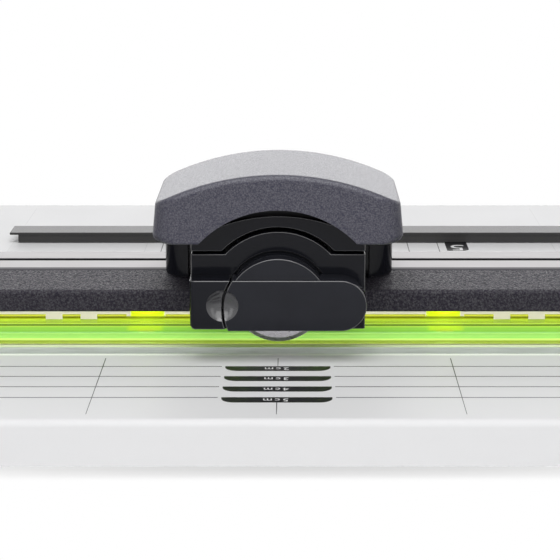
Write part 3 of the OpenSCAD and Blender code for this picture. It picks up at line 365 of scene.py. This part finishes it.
TABLE_PAINT = painted_sheet("table_paint", (0.70, 0.70, 0.708), roughness=0.48, specular=0.25)
COVER_GRAIN = grained_plastic("cover_grain", (0.0300, 0.0277, 0.0355), grain=0.7 * MM,
                              depth=0.19 * MM, roughness=0.52, speckle=0.78, spark=0.2,
                              specular=0.29, border=COVER_BORDER)
HANDLE_GRAIN = grained_plastic("handle_grain", (0.0435, 0.0424, 0.0615), grain=0.46 * MM,
                               depth=0.085 * MM, roughness=0.42, coat=0.36, speckle=0.94, spark=0.1)
BLACK_GRAIN = grained_plastic("black_grain", (0.020, 0.020, 0.022), grain=0.5 * MM,
                              depth=0.04 * MM, roughness=0.45)
HEAD_BLACK = gloss_plastic("head_black", (0.0052, 0.0057, 0.0092), roughness=0.09, specular=0.18)
LEVER_BLACK = gloss_plastic("lever_black", (0.0132, 0.0140, 0.0190), roughness=0.09, specular=0.18)
# Lighter and glossier black on the rounded edges and in the dimple: a painted sheen for their highlights
HEAD_EDGE_SHEEN = gloss_plastic("head_edge_sheen", (0.024, 0.024, 0.028), roughness=0.20, specular=0.8, coat=0.4)
STOP_PAINT = grained_plastic("stop_paint", (0.024, 0.023, 0.025), grain=0.25 * MM,
                             depth=0.015 * MM, roughness=0.41, speckle=0.15)
RAIL_ALUMINIUM = brushed_metal("rail_aluminium", (0.275, 0.265, 0.27), roughness=0.42, patch=RAIL_SLOT_SHADE)
KNIFE_STEEL = brushed_metal("knife_steel", (0.90, 0.925, 0.91), roughness=0.46, patch=KNIFE_LAND_SHEEN)
BEAM_ALUMINIUM = brushed_metal("beam_aluminium", (0.60, 0.61, 0.63), roughness=0.45)
BLADE_STEEL = turned_metal("blade_steel", (0.68, 0.66, 0.70), roughness=0.26)
SCREW_STEEL = turned_metal("screw_steel", (0.52, 0.52, 0.54), roughness=0.32)
HUB_BRASS = turned_metal("hub_brass", (0.78, 0.60, 0.30), roughness=0.28)
CLAMP_ACRYLIC = neon_acrylic("clamp_acrylic")
FOOT_RUBBER = soft_rubber("foot_rubber", (0.018, 0.018, 0.018))
GLIDE_NYLON = gloss_plastic("glide_nylon", (0.74, 0.72, 0.67), roughness=0.38)
INK_BLACK = printed_ink("ink_black", (0.012, 0.012, 0.013))
INK_LINE = printed_ink("ink_line", (0.05, 0.05, 0.053))
INK_FAINT = printed_ink("ink_faint", (0.59, 0.59, 0.60))
INK_WHITE = printed_ink("ink_white", (0.80, 0.80, 0.80))
# Painted highlight for the front table's rounded edge at the groove
EDGE_HIGHLIGHT = printed_ink("edge_highlight", (0.97, 0.98, 0.95))


# Modifiers

SMOOTH_ANGLE = 32
SHARP_ANGLE = 50
FLAT_ANGLE = 0.5
WELD_REACH = 0.002 * MM


def modifier_group(name):
    """An empty modifier group, with its input and output nodes."""
    group = bpy.data.node_groups.new(name, "GeometryNodeTree")
    group.interface.new_socket("Geometry", in_out="INPUT", socket_type="NodeSocketGeometry")
    group.interface.new_socket("Geometry", in_out="OUTPUT", socket_type="NodeSocketGeometry")
    return group, group.nodes.new("NodeGroupInput"), group.nodes.new("NodeGroupOutput")


def edge_test(group, angle, operation, limit):
    """Compares an edge's angle with a limit in degrees."""
    edge = group.nodes.new("GeometryNodeInputMeshEdgeAngle")
    test = group.nodes.new("FunctionNodeCompare")
    test.operation = operation
    test.inputs[1].default_value = math.radians(limit)
    group.links.new(edge.outputs[angle], test.inputs[0])
    return test.outputs[0]


def smooth_by_angle():
    """A modifier group that shades smooth across every edge flatter than the smooth angle."""
    group, start, end = modifier_group("smooth_by_angle")
    faces = group.nodes.new("GeometryNodeSetShadeSmooth")
    edges = group.nodes.new("GeometryNodeSetShadeSmooth")
    edges.domain = "EDGE"
    flat = edge_test(group, "Unsigned Angle", "LESS_THAN", SMOOTH_ANGLE)
    group.links.new(start.outputs[0], faces.inputs["Geometry"])
    group.links.new(faces.outputs[0], edges.inputs["Geometry"])
    group.links.new(flat, edges.inputs["Shade Smooth"])
    group.links.new(edges.outputs[0], end.inputs[0])
    return group


def outward_edges():
    """A modifier group that gives bevel weight to the sharp outward edges."""
    group, start, end = modifier_group("outward_edges")
    store = group.nodes.new("GeometryNodeStoreNamedAttribute")
    store.data_type = "FLOAT"
    store.domain = "EDGE"
    store.inputs["Name"].default_value = "bevel_weight_edge"
    sharp = edge_test(group, "Signed Angle", "GREATER_THAN", SHARP_ANGLE)
    group.links.new(start.outputs[0], store.inputs["Geometry"])
    group.links.new(sharp, store.inputs["Value"])
    group.links.new(store.outputs[0], end.inputs[0])
    return group


SMOOTH = smooth_by_angle()
OUTWARD = outward_edges()


def shade(made):
    """Smooth shading on curved faces, flat faces kept flat."""
    made.modifiers.new("shade", "NODES").node_group = SMOOTH
    even = made.modifiers.new("even", "WEIGHTED_NORMAL")
    even.keep_sharp = True
    even.weight = 60


def soften(node, width, clamped, edge_slot=-1):
    """Rounds a node's outward edges with modifiers: its own mesh stays as it is."""
    weld = node.modifiers.new("weld", "WELD")
    weld.merge_threshold = WELD_REACH
    flat = node.modifiers.new("flat", "DECIMATE")
    flat.decimate_type = "DISSOLVE"
    flat.angle_limit = math.radians(FLAT_ANGLE)
    node.modifiers.new("outward", "NODES").node_group = OUTWARD
    edge = node.modifiers.new("edge", "BEVEL")
    edge.width = width
    edge.segments = 3
    edge.limit_method = "WEIGHT"
    edge.use_clamp_overlap = clamped
    edge.miter_outer = "MITER_ARC"
    edge.material = edge_slot
    shade(node)


# The dimple is pressed by a ball into the lever's left end and the block beside it
DIMPLE_R = 4.6 * MM
DIMPLE_D = 1.8 * MM
DIMPLE_LEFT = 0.15 * MM
DIMPLE_HEIGHT = 17.2 * MM
DIMPLE_REACH = 0.12 * MM
DIMPLE_BALL = (DIMPLE_R ** 2 + DIMPLE_D ** 2) / (2 * DIMPLE_D)
lever_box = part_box("cover_lever")
DIMPLE_AT = (lever_box[0].x - DIMPLE_LEFT, lever_box[0].y + DIMPLE_D - DIMPLE_BALL,
             TABLE_TOP + DIMPLE_HEIGHT)


def sheen_on_ball(centre, radius, material):
    """A modifier group that gives a material to the faces lying on a ball."""
    group, start, end = modifier_group("sheen_on_ball")
    place = group.nodes.new("GeometryNodeInputPosition")
    reach = group.nodes.new("ShaderNodeVectorMath")
    reach.operation = "DISTANCE"
    reach.inputs[1].default_value = centre
    on_ball = group.nodes.new("ShaderNodeMath")
    on_ball.operation = "COMPARE"
    on_ball.inputs[1].default_value = radius
    on_ball.inputs[2].default_value = DIMPLE_REACH
    finish = group.nodes.new("GeometryNodeSetMaterial")
    finish.inputs["Material"].default_value = material
    group.links.new(place.outputs[0], reach.inputs[0])
    group.links.new(reach.outputs["Value"], on_ball.inputs[0])
    group.links.new(start.outputs[0], finish.inputs["Geometry"])
    group.links.new(on_ball.outputs[0], finish.inputs["Selection"])
    group.links.new(finish.outputs[0], end.inputs[0])
    return group


# Painted sheen: the dimple's faces take the lighter, glossier edge black
DIMPLE = sheen_on_ball(DIMPLE_AT, DIMPLE_BALL, HEAD_EDGE_SHEEN)


# Finish of the frame's own nodes: material, edge rounding in mm, nodes

FINISHES = [
    (TABLE_PAINT, 0.0, ["front_table", "rear_table"]),
    (BEAM_ALUMINIUM, 0.0, ["cross_beam"]),
    (BLACK_GRAIN, 0.6, ["end_cap_left", "end_cap_right", "rail_bracket_left", "rail_bracket_right",
                        "stop_slider"]),
    (BLACK_GRAIN, 0.3, ["side_guide_left", "side_guide_right"]),
    (BLACK_GRAIN, 0.1, ["stop_knob"]),
    (FOOT_RUBBER, 0.3, ["rubber_feet"]),
    (KNIFE_STEEL, 0.08, ["counter_knife"]),
    (RAIL_ALUMINIUM, 0.15, ["guide_rail"]),
    (COVER_GRAIN, 0.6, ["rail_cover"]),
    (CLAMP_ACRYLIC, 0.25, ["clamp_strip"]),
    (HEAD_BLACK, 0.28, ["carriage_body", "head_frame", "blade_housing"]),
    (LEVER_BLACK, 0.28, ["cover_lever"]),
    (HANDLE_GRAIN, 0.0, ["handle_cap"]),
    (STOP_PAINT, 0.2, ["stop_bar"]),
    (BLADE_STEEL, 0.0, ["rotary_blade", "guide_pins", "blade_axle", "hub_ring"]),
    (HUB_BRASS, 0.0, ["blade_hub"]),
    (GLIDE_NYLON, 0.1, ["glide_pads", "guide_shoe"]),
    (SCREW_STEEL, 0.12, ["cap_screws", "bracket_screws", "rail_screws", "clamp_screws", "shoe_screws",
                         "handle_screws", "housing_screws", "guide_screws", "stop_screws", "stop_nut"]),
    (SCREW_STEEL, 0.0, ["knife_screws", "clamp_springs", "press_springs", "axle_clip",
                        "pressure_spring"]),
]

# Nodes whose rounded edges may run past each other
FREE_EDGES = ("end_cap_left", "end_cap_right", "side_guide_left", "side_guide_right", "stop_knob")

for material, edge_mm, names in FINISHES:
    for name in names:
        nodes[name].material_slots[0].material = material
        if material in (HEAD_BLACK, LEVER_BLACK):
            # The bevels take the edge sheen, a painted highlight
            nodes[name].data.materials.append(HEAD_EDGE_SHEEN)
            if name in ("blade_housing", "cover_lever"):
                nodes[name].modifiers.new("dimple", "NODES").node_group = DIMPLE
            soften(nodes[name], edge_mm * MM, False, edge_slot=1)
        elif edge_mm:
            soften(nodes[name], edge_mm * MM, name not in FREE_EDGES)


# Shapes

INK_T = 0.02 * MM


def drawn(name, draw):
    """A mesh object from a function that fills a bmesh."""
    mesh = bpy.data.meshes.new(name)
    bm = bmesh.new()
    draw(bm)
    bm.to_mesh(mesh)
    bm.free()
    made = bpy.data.objects.new(name, mesh)
    bpy.context.scene.collection.objects.link(made)
    return made


def piece(name, draw, material, body):
    """A drawn object with its material, riding on a body."""
    made = drawn(name, draw)
    made.data.materials.append(material)
    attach(made, body)
    return made


def arc(cx, cz, r, start, end, count):
    """Points on an arc, its angles in degrees."""
    turns = [math.radians(start + (end - start) * i / count) for i in range(count + 1)]
    return [(cx + r * math.cos(a), cz + r * math.sin(a)) for a in turns]


def bar(x0, x1, y0, y1):
    return [(x0, y0), (x1, y0), (x1, y1), (x0, y1)]


def loft(bm, rings):
    """A closed skin through rings of points, with a flat face at both ends."""
    loops = [[bm.verts.new(p) for p in ring] for ring in rings]
    count = len(loops[0])
    for a, b in zip(loops, loops[1:]):
        for i in range(count):
            j = (i + 1) % count
            bm.faces.new((a[i], a[j], b[j], b[i]))
    bm.faces.new(loops[0][::-1])
    bm.faces.new(loops[-1])
    bmesh.ops.recalc_face_normals(bm, faces=bm.faces)


def inked(bm, outline, z):
    """A thin raised plate of ink from a closed outline of (x, y) points."""
    low = [bm.verts.new((x, y, z)) for x, y in outline]
    high = [bm.verts.new((x, y, z + INK_T)) for x, y in outline]
    bm.faces.new(high)
    bm.faces.new(low[::-1])
    for i in range(len(outline)):
        j = (i + 1) % len(outline)
        bm.faces.new((low[i], low[j], high[j], high[i]))


def cut(made, drawers):
    """Cuts forms out of a piece, and keeps the result as its own mesh."""
    tools = [drawn("cutter", draw) for draw in drawers]
    for tool in tools:
        step = made.modifiers.new("cut", "BOOLEAN")
        step.operation = "DIFFERENCE"
        step.solver = "EXACT"
        step.object = tool
    graph = bpy.context.evaluated_depsgraph_get()
    result = bpy.data.meshes.new_from_object(made.evaluated_get(graph))
    made.modifiers.clear()
    made.data = result
    for tool in tools:
        bpy.data.objects.remove(tool)


# Handle, with the soft edges and the slight draft of a moulding. Its measures are in mm from the
# head's middle, the cut line and the table.

HANDLE_FOOT = 34.7
HANDLE_CROWN = 54.7
ROOF_R = 77.0
ROOF_Z = HANDLE_CROWN - ROOF_R
HALF_FOOT = 35.85
HALF_TOP = 35.05
HANDLE_FRONT = 16.5
HANDLE_BACK = 28.7
HANDLE_WALL = 2.2
PLAN_R = 6.5
ROOF_EDGE_R = 1.6
FOOT_EDGE_R = 0.7
FOOT_CORNER_R = 2.2
SIDE_CORNER_R = 1.8
ARCH_R = 30.8
ARCH_Z = 13.9
FACE_Y = 8.5
# How far the cutting forms reach past the handle
ROOM_PAST = 5
ARCH_PAST = 2
RIM_R = 0.3
# Steps of its roundings
END_STEPS = 18
FOOT_STEPS = 8
SIDE_STEPS = 6
ROOF_STEPS = 40
ARCH_STEPS = 160


def at_head(x, y, z):
    return (HEAD_X + x * MM, CUT_Y + y * MM, TABLE_TOP + z * MM)


def handle_ring(inset, drop, lift):
    """The handle's outline seen from the front, drawn in at its sides, roof and foot."""
    foot = HANDLE_FOOT + lift
    half_foot = HALF_FOOT - inset
    half_top = HALF_TOP - inset
    roof = ROOF_R - drop
    mid_x = half_top - SIDE_CORNER_R
    mid_z = ROOF_Z + math.sqrt((roof - SIDE_CORNER_R) ** 2 - mid_x ** 2)
    lean = math.degrees(math.atan2(mid_z - ROOF_Z, mid_x))
    right = arc(half_foot - FOOT_CORNER_R, foot + FOOT_CORNER_R, FOOT_CORNER_R, -90, 0, FOOT_STEPS)
    right += arc(mid_x, mid_z, SIDE_CORNER_R, 0, lean, SIDE_STEPS)
    top = arc(0, ROOF_Z, roof, lean, 180 - lean, ROOF_STEPS)[1:-1]
    return right + top + [(-x, z) for x, z in reversed(right)]


def rounding(r, depth):
    """How far an edge of radius r is drawn in at a depth from the end face."""
    return r - math.sqrt(r * r - (r - depth) ** 2) if depth < r else 0.0


def draw_handle(bm):
    depths = [PLAN_R * (k / END_STEPS) ** 2 for k in range(END_STEPS + 1)]
    rings = []
    for end, way in ((-HANDLE_FRONT, 1), (HANDLE_BACK, -1)):
        half = []
        for d in depths:
            outline = handle_ring(rounding(PLAN_R, d), rounding(ROOF_EDGE_R, d), rounding(FOOT_EDGE_R, d))
            half.append([at_head(x, end + way * d, z) for x, z in outline])
        rings += half if way > 0 else half[::-1]
    loft(bm, rings)


def draw_handle_room(bm):
    """The room inside the handle, open below."""
    half = HALF_TOP - HANDLE_WALL
    roof = ROOF_R - HANDLE_WALL
    lean = math.degrees(math.acos(half / roof))
    outline = [(-half, HANDLE_FOOT - ROOM_PAST), (half, HANDLE_FOOT - ROOM_PAST)]
    outline += arc(0, ROOF_Z, roof, lean, 180 - lean, ROOF_STEPS)
    ends = (HANDLE_WALL - HANDLE_FRONT, HANDLE_BACK - HANDLE_WALL)
    loft(bm, [[at_head(x, y, z) for x, z in outline] for y in ends])


def draw_handle_arch(bm):
    """The round opening in the handle's front, over the blade housing."""
    outline = arc(0, ARCH_Z, ARCH_R, 0, 360, ARCH_STEPS)[:-1]
    ends = (-HANDLE_FRONT - ARCH_PAST, -FACE_Y)
    loft(bm, [[at_head(x, y, z) for x, z in outline] for y in ends])


handle = piece("handle_shell", draw_handle, HANDLE_GRAIN, "head")
cut(handle, [draw_handle_room, draw_handle_arch])
rim = handle.modifiers.new("rim", "BEVEL")
rim.width = RIM_R * MM
rim.segments = 2
rim.limit_method = "ANGLE"
rim.angle_limit = math.radians(SHARP_ANGLE)
shade(handle)
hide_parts("handle_cap")


# Raised edge on the clear strip's ridge, open at its four notches and at the bosses

RIDGE_FRONT = 7.2 * MM
RIDGE_W = 1.0 * MM
RIDGE_LOW = 7.35 * MM
RIDGE_HIGH = 8.1 * MM
NOTCH_X = 67 * MM
NOTCH_PITCH = 10.4 * MM
NOTCH_W = 5 * MM


def draw_ridge_edge(bm):
    ends = [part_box("clamp_strip")[0].x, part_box("clamp_strip")[1].x]
    for side in (-1, 1):
        for way in (-1, 1):
            notch = side * NOTCH_X + way * NOTCH_PITCH / 2
            ends += [notch - NOTCH_W / 2, notch + NOTCH_W / 2]
        for boss in (side * BOSS_PITCH / 2, side * BOSS_PITCH * 1.5):
            ends += [boss - BOSS_FOOT_R, boss + BOSS_FOOT_R]
    ends.sort()
    y0 = CUT_Y + RIDGE_FRONT
    for x0, x1 in zip(ends[::2], ends[1::2]):
        outline = bar(x0, x1, y0, y0 + RIDGE_W)
        loft(bm, [[(x, y, TABLE_TOP + z) for x, y in outline] for z in (RIDGE_LOW, RIDGE_HIGH)])


shade(piece("ridge_edge", draw_ridge_edge, CLAMP_ACRYLIC, "clamp"))


# Printed scale on the front table

ROWS = (20, 30, 40, 50)
ROW_W = 0.5 * MM
TILE_HALF = 15 * MM
TILE_DEPTH = 4.8 * MM
TILE_CORNER = 3.6 * MM
TILE_GAP = 1.0 * MM
TILE_OVER = 0.2 * MM
CORNER_STEPS = 8
CROSS_STEP = 50 * MM
CROSS_W = 0.26 * MM
CROSS_NEAR_W = 0.16 * MM
CROSS_NEAR = -65 * MM
CROSS_FAR = -11.6 * MM
PRINT_MARGIN = 3 * MM
GROOVE_HIGHLIGHT_NEAR = 1.9 * MM
GROOVE_HIGHLIGHT_FAR = 0.02 * MM
NUMBER_SIZE = 3.6 * MM
NUMBER_NARROW = 0.99
NUMBER_LEFT = 0.3 * MM
LETTER_SPACE = 1.3

print_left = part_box("front_table")[0].x + PRINT_MARGIN
print_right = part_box("front_table")[1].x - PRINT_MARGIN


def tile_outline(x, y):
    """A tag whose far edge is straight and whose near corners are rounded."""
    points = [(x + TILE_HALF, y), (x - TILE_HALF, y)]
    for side in (-1, 1):
        for i in range(CORNER_STEPS + 1):
            a = math.radians(90 * i / CORNER_STEPS)
            reach = TILE_CORNER * ((1 - math.cos(a)) if side < 0 else (1 - math.sin(a)))
            drop = TILE_CORNER * (math.sin(a) if side < 0 else math.cos(a))
            points.append((x + side * (TILE_HALF - reach), y - TILE_DEPTH + TILE_CORNER - drop))
    return points


def draw_groove_highlight(bm):
    """A painted highlight: a bright white strip along the front table's rounded edge at the groove."""
    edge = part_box("front_table")[1].y
    inked(bm, bar(print_left, print_right, edge - GROOVE_HIGHLIGHT_NEAR, edge - GROOVE_HIGHLIGHT_FAR), TABLE_TOP)


def draw_rows(bm):
    """Lines along the table, open at the tags."""
    open_half = TILE_HALF + TILE_GAP
    for row in ROWS:
        y = CUT_Y - row * MM
        for x0, x1 in ((print_left, HEAD_X - open_half), (HEAD_X + open_half, print_right)):
            inked(bm, bar(x0, x1, y - ROW_W / 2, y + ROW_W / 2), TABLE_TOP)


def cross_places():
    count = int((print_right - HEAD_X) / CROSS_STEP)
    return [HEAD_X + i * CROSS_STEP for i in range(-count, count + 1)
            if i and HEAD_X + i * CROSS_STEP > print_left]


def draw_cross_lines(bm):
    """Lines across the table, thinner towards the user. The middle one stops at the tags."""
    spans = [(x, CROSS_NEAR, CROSS_FAR) for x in cross_places()]
    spans += [(HEAD_X, -ROWS[0] * MM, CROSS_FAR), (HEAD_X, CROSS_NEAR, -ROWS[-1] * MM - TILE_DEPTH)]
    thin = CROSS_NEAR_W / 2
    wide = CROSS_W / 2
    for x, near, far in spans:
        y0 = CUT_Y + near
        y1 = CUT_Y + far
        inked(bm, [(x - thin, y0), (x + thin, y0), (x + wide, y1), (x - wide, y1)], TABLE_TOP + INK_T)


def draw_tiles(bm):
    for row in ROWS:
        inked(bm, tile_outline(HEAD_X, CUT_Y - row * MM + TILE_OVER), TABLE_TOP)


def number(name, words, place, size, narrow):
    """White words on a tag, narrowed and turned to be read from the far side of the table."""
    data = bpy.data.curves.new(name, "FONT")
    data.body = words
    data.size = size
    data.align_x = "CENTER"
    data.align_y = "CENTER"
    data.extrude = INK_T / 2
    data.space_character = LETTER_SPACE
    data.materials.append(INK_WHITE)
    made = bpy.data.objects.new(name, data)
    x, y, z = place
    made.location = (x, y, z + INK_T / 2)
    made.rotation_euler = (0, 0, math.pi)
    made.scale = (narrow, 1, 1)
    bpy.context.scene.collection.objects.link(made)
    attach(made, "base")


# Painted highlight along the groove's edge
piece("groove_highlight", draw_groove_highlight, EDGE_HIGHLIGHT, "base")
piece("scale_rows", draw_rows, INK_LINE, "base")
piece("scale_cross_lines", draw_cross_lines, INK_LINE, "base")
piece("scale_tiles", draw_tiles, INK_BLACK, "base")
for row in ROWS:
    tile_mid = CUT_Y - row * MM + TILE_OVER - TILE_DEPTH / 2
    number("scale_number_%d" % row, "%dcm" % (row / 10),
           (HEAD_X - NUMBER_LEFT, tile_mid, TABLE_TOP + INK_T), NUMBER_SIZE, NUMBER_NARROW)


# Marks on the rear table

REAR_NEAR = 60 * MM
REAR_FAR = 210 * MM
REAR_TICK_FAR = 150 * MM
REAR_TICKS = (-44, 46.5, 57.6)
REAR_LINES = (-50, 100, -100, 150, -150)
TAG_X = 64.5 * MM
TAG_Y0 = 131 * MM
TAG_L = 15 * MM
TAG_HALF = 4.05 * MM
TAG_CORNER = 2.8 * MM
REAR_NUMBER_Y = 5.7 * MM
REAR_NUMBER_SIZE = 13 * MM
REAR_NUMBER_NARROW = 0.95


def rear_marks(bm, marks, far):
    """Lines across the rear table, at places in mm from the head's middle."""
    for mark in marks:
        x = HEAD_X + mark * MM
        inked(bm, bar(x - CROSS_W / 2, x + CROSS_W / 2, CUT_Y + REAR_NEAR, CUT_Y + far), TABLE_TOP)


def draw_rear_ticks(bm):
    rear_marks(bm, REAR_TICKS, REAR_TICK_FAR)


def draw_rear_lines(bm):
    rear_marks(bm, REAR_LINES, REAR_FAR)


def draw_rear_tag(bm):
    """A tag with one rounded near corner."""
    x0 = HEAD_X + TAG_X - TAG_HALF
    x1 = HEAD_X + TAG_X + TAG_HALF
    y0 = CUT_Y + TAG_Y0
    corner = arc(x1 - TAG_CORNER, y0 + TAG_CORNER, TAG_CORNER, -90, 0, CORNER_STEPS)
    inked(bm, [(x0, y0)] + corner + [(x1, y0 + TAG_L), (x0, y0 + TAG_L)], TABLE_TOP + INK_T)


piece("rear_ticks", draw_rear_ticks, INK_LINE, "base")
piece("rear_lines", draw_rear_lines, INK_FAINT, "base")
piece("rear_tag", draw_rear_tag, INK_BLACK, "base")
number("rear_number", "5", (HEAD_X + TAG_X, CUT_Y + TAG_Y0 + REAR_NUMBER_Y, TABLE_TOP + 2 * INK_T),
       REAR_NUMBER_SIZE, REAR_NUMBER_NARROW)


# Camera: where the table's printed rows and cross lines fall as in the photo

CAMERA_HEIGHT = 148.12 * MM
CAMERA_BACK = 529.8 * MM
CAMERA_PITCH = 13.534
FOCAL_PX = 1855.5
IMAGE_PX = 560
PRINCIPAL_PX = 295.39
SENSOR = 36.0

camera_data = bpy.data.cameras.new("camera")
camera_data.sensor_width = SENSOR
camera_data.lens = SENSOR * FOCAL_PX / IMAGE_PX
camera_data.shift_x = (IMAGE_PX / 2 - PRINCIPAL_PX) / IMAGE_PX
camera_data.clip_start = 20 * MM
camera = bpy.data.objects.new("camera", camera_data)
camera.location = (0, CUT_Y - CAMERA_BACK, TABLE_TOP + CAMERA_HEIGHT)
camera.rotation_euler = (math.radians(90 - CAMERA_PITCH), 0, 0)
bpy.context.scene.collection.objects.link(camera)
bpy.context.scene.camera = camera


# Light


def lamp(name, place, target, size, power, colour=(1, 1, 1), spread=180):
    """A soft box of light, its spread in degrees."""
    data = bpy.data.lights.new(name, "AREA")
    data.spread = math.radians(spread)
    data.shape = "RECTANGLE"
    data.size, data.size_y = size
    data.energy = power
    data.color = colour
    made = bpy.data.objects.new(name, data)
    made.location = place
    made.rotation_euler = (Vector(target) - Vector(place)).to_track_quat("-Z", "Y").to_euler()
    made.visible_camera = False
    bpy.context.scene.collection.objects.link(made)


lamp("front_softbox", place=(0.0, -1.15, 0.85), target=(0, -0.07, 0.02), size=(1.5, 0.9), power=8.0)
lamp("top_softbox", place=(0.0, -0.40, 1.05), target=(0, -0.05, 0), size=(0.8, 0.7), power=6.0)
lamp("back_softbox", place=(0.0, 1.3, 0.40), target=(0, 0, 0.03), size=(1.8, 0.6), power=5.0)
lamp("left_softbox", place=(-0.85, -0.85, 0.45), target=(0, -0.05, 0.04), size=(0.3, 0.9), power=1.0)
lamp("right_softbox", place=(0.85, -0.85, 0.45), target=(0, -0.05, 0.04), size=(0.3, 0.9), power=0.8)

# What the clear strip lets through to the table under the rail
rail_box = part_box("guide_rail")
THROAT_FRONT = CUT_Y + 20 * MM
THROAT_BACK = rail_box[1].y - 3 * MM
THROAT_MID = (THROAT_FRONT + THROAT_BACK) / 2
THROAT_TOP = rail_box[0].z - 0.4 * MM
THROAT_L = rail_box[1].x - rail_box[0].x - 40 * MM
THROAT_TINT = (1, 0.98, 0.55)
lamp("throat_light", place=(0, THROAT_MID, THROAT_TOP), target=(0, THROAT_MID, TABLE_TOP),
     size=(THROAT_L, THROAT_BACK - THROAT_FRONT), power=0.019, colour=THROAT_TINT, spread=35)


# Floor, which the camera sees fade into the white background round the trimmer

FLOOR_HALF = 4.0
FLOOR_DOWN = 0.2 * MM
FLOOR_DARK = (0.93, 0.93, 0.93)
FLOOR_PALE = (0.95, 0.95, 0.95)
FADE_STRETCH = 0.62
FADE_START = 0.09
FADE_END = 0.158


def floor_paper(name):
    """Pale matt paper whose far part is plain white to the camera."""
    g = Graph(name)
    g.set(Base_Color=g.mix(g.noise(0.4), FLOOR_DARK, FLOOR_PALE))
    g.set(Roughness=0.9, Specular_IOR_Level=0.1)
    reach = g.node("ShaderNodeVectorMath", {"operation": "LENGTH"})
    g.feed(reach.inputs[0], g.stretched(FADE_STRETCH, 1, 1))
    far = g.spread(reach.outputs["Value"], 0, 1, FADE_START, FADE_END)
    ray = g.node("ShaderNodeLightPath")
    white = g.node("ShaderNodeEmission", Strength=1.0)
    blend = g.node("ShaderNodeMixShader")
    g.feed(blend.inputs[0], g.both(far, ray.outputs["Is Camera Ray"]))
    g.feed(blend.inputs[1], g.shader.outputs[0])
    g.feed(blend.inputs[2], white.outputs[0])
    g.feed(g.tree.nodes["Material Output"].inputs["Surface"], blend.outputs[0])
    return g.material


def draw_floor(bm):
    outline = bar(-FLOOR_HALF, FLOOR_HALF, -FLOOR_HALF, FLOOR_HALF)
    bm.faces.new([bm.verts.new((x, y, -FLOOR_DOWN)) for x, y in outline])


floor = drawn("studio_floor", draw_floor)
floor.data.materials.append(floor_paper("studio_floor"))


# World: white where it is seen straight, reflected or through the clear strip, and weaker as light

WORLD_LIGHT = 0.28
WORLD_SEEN = 1.0

world = bpy.data.worlds.new("studio")
bpy.context.scene.world = world
world.use_nodes = True
tree = world.node_tree
paths = tree.nodes.new("ShaderNodeLightPath")
sky = tree.nodes["Background"]
sky.inputs["Color"].default_value = (1, 1, 1, 1)
seen = paths.outputs["Is Camera Ray"]
for kind in ("Is Transmission Ray", "Is Glossy Ray"):
    either = tree.nodes.new("ShaderNodeMath")
    either.operation = "MAXIMUM"
    tree.links.new(seen, either.inputs[0])
    tree.links.new(paths.outputs[kind], either.inputs[1])
    seen = either.outputs[0]
level = tree.nodes.new("ShaderNodeMapRange")
tree.links.new(seen, level.inputs["Value"])
level.inputs["To Min"].default_value = WORLD_LIGHT
level.inputs["To Max"].default_value = WORLD_SEEN
tree.links.new(level.outputs["Result"], sky.inputs["Strength"])

bpy.context.scene.view_settings.view_transform = "Standard"
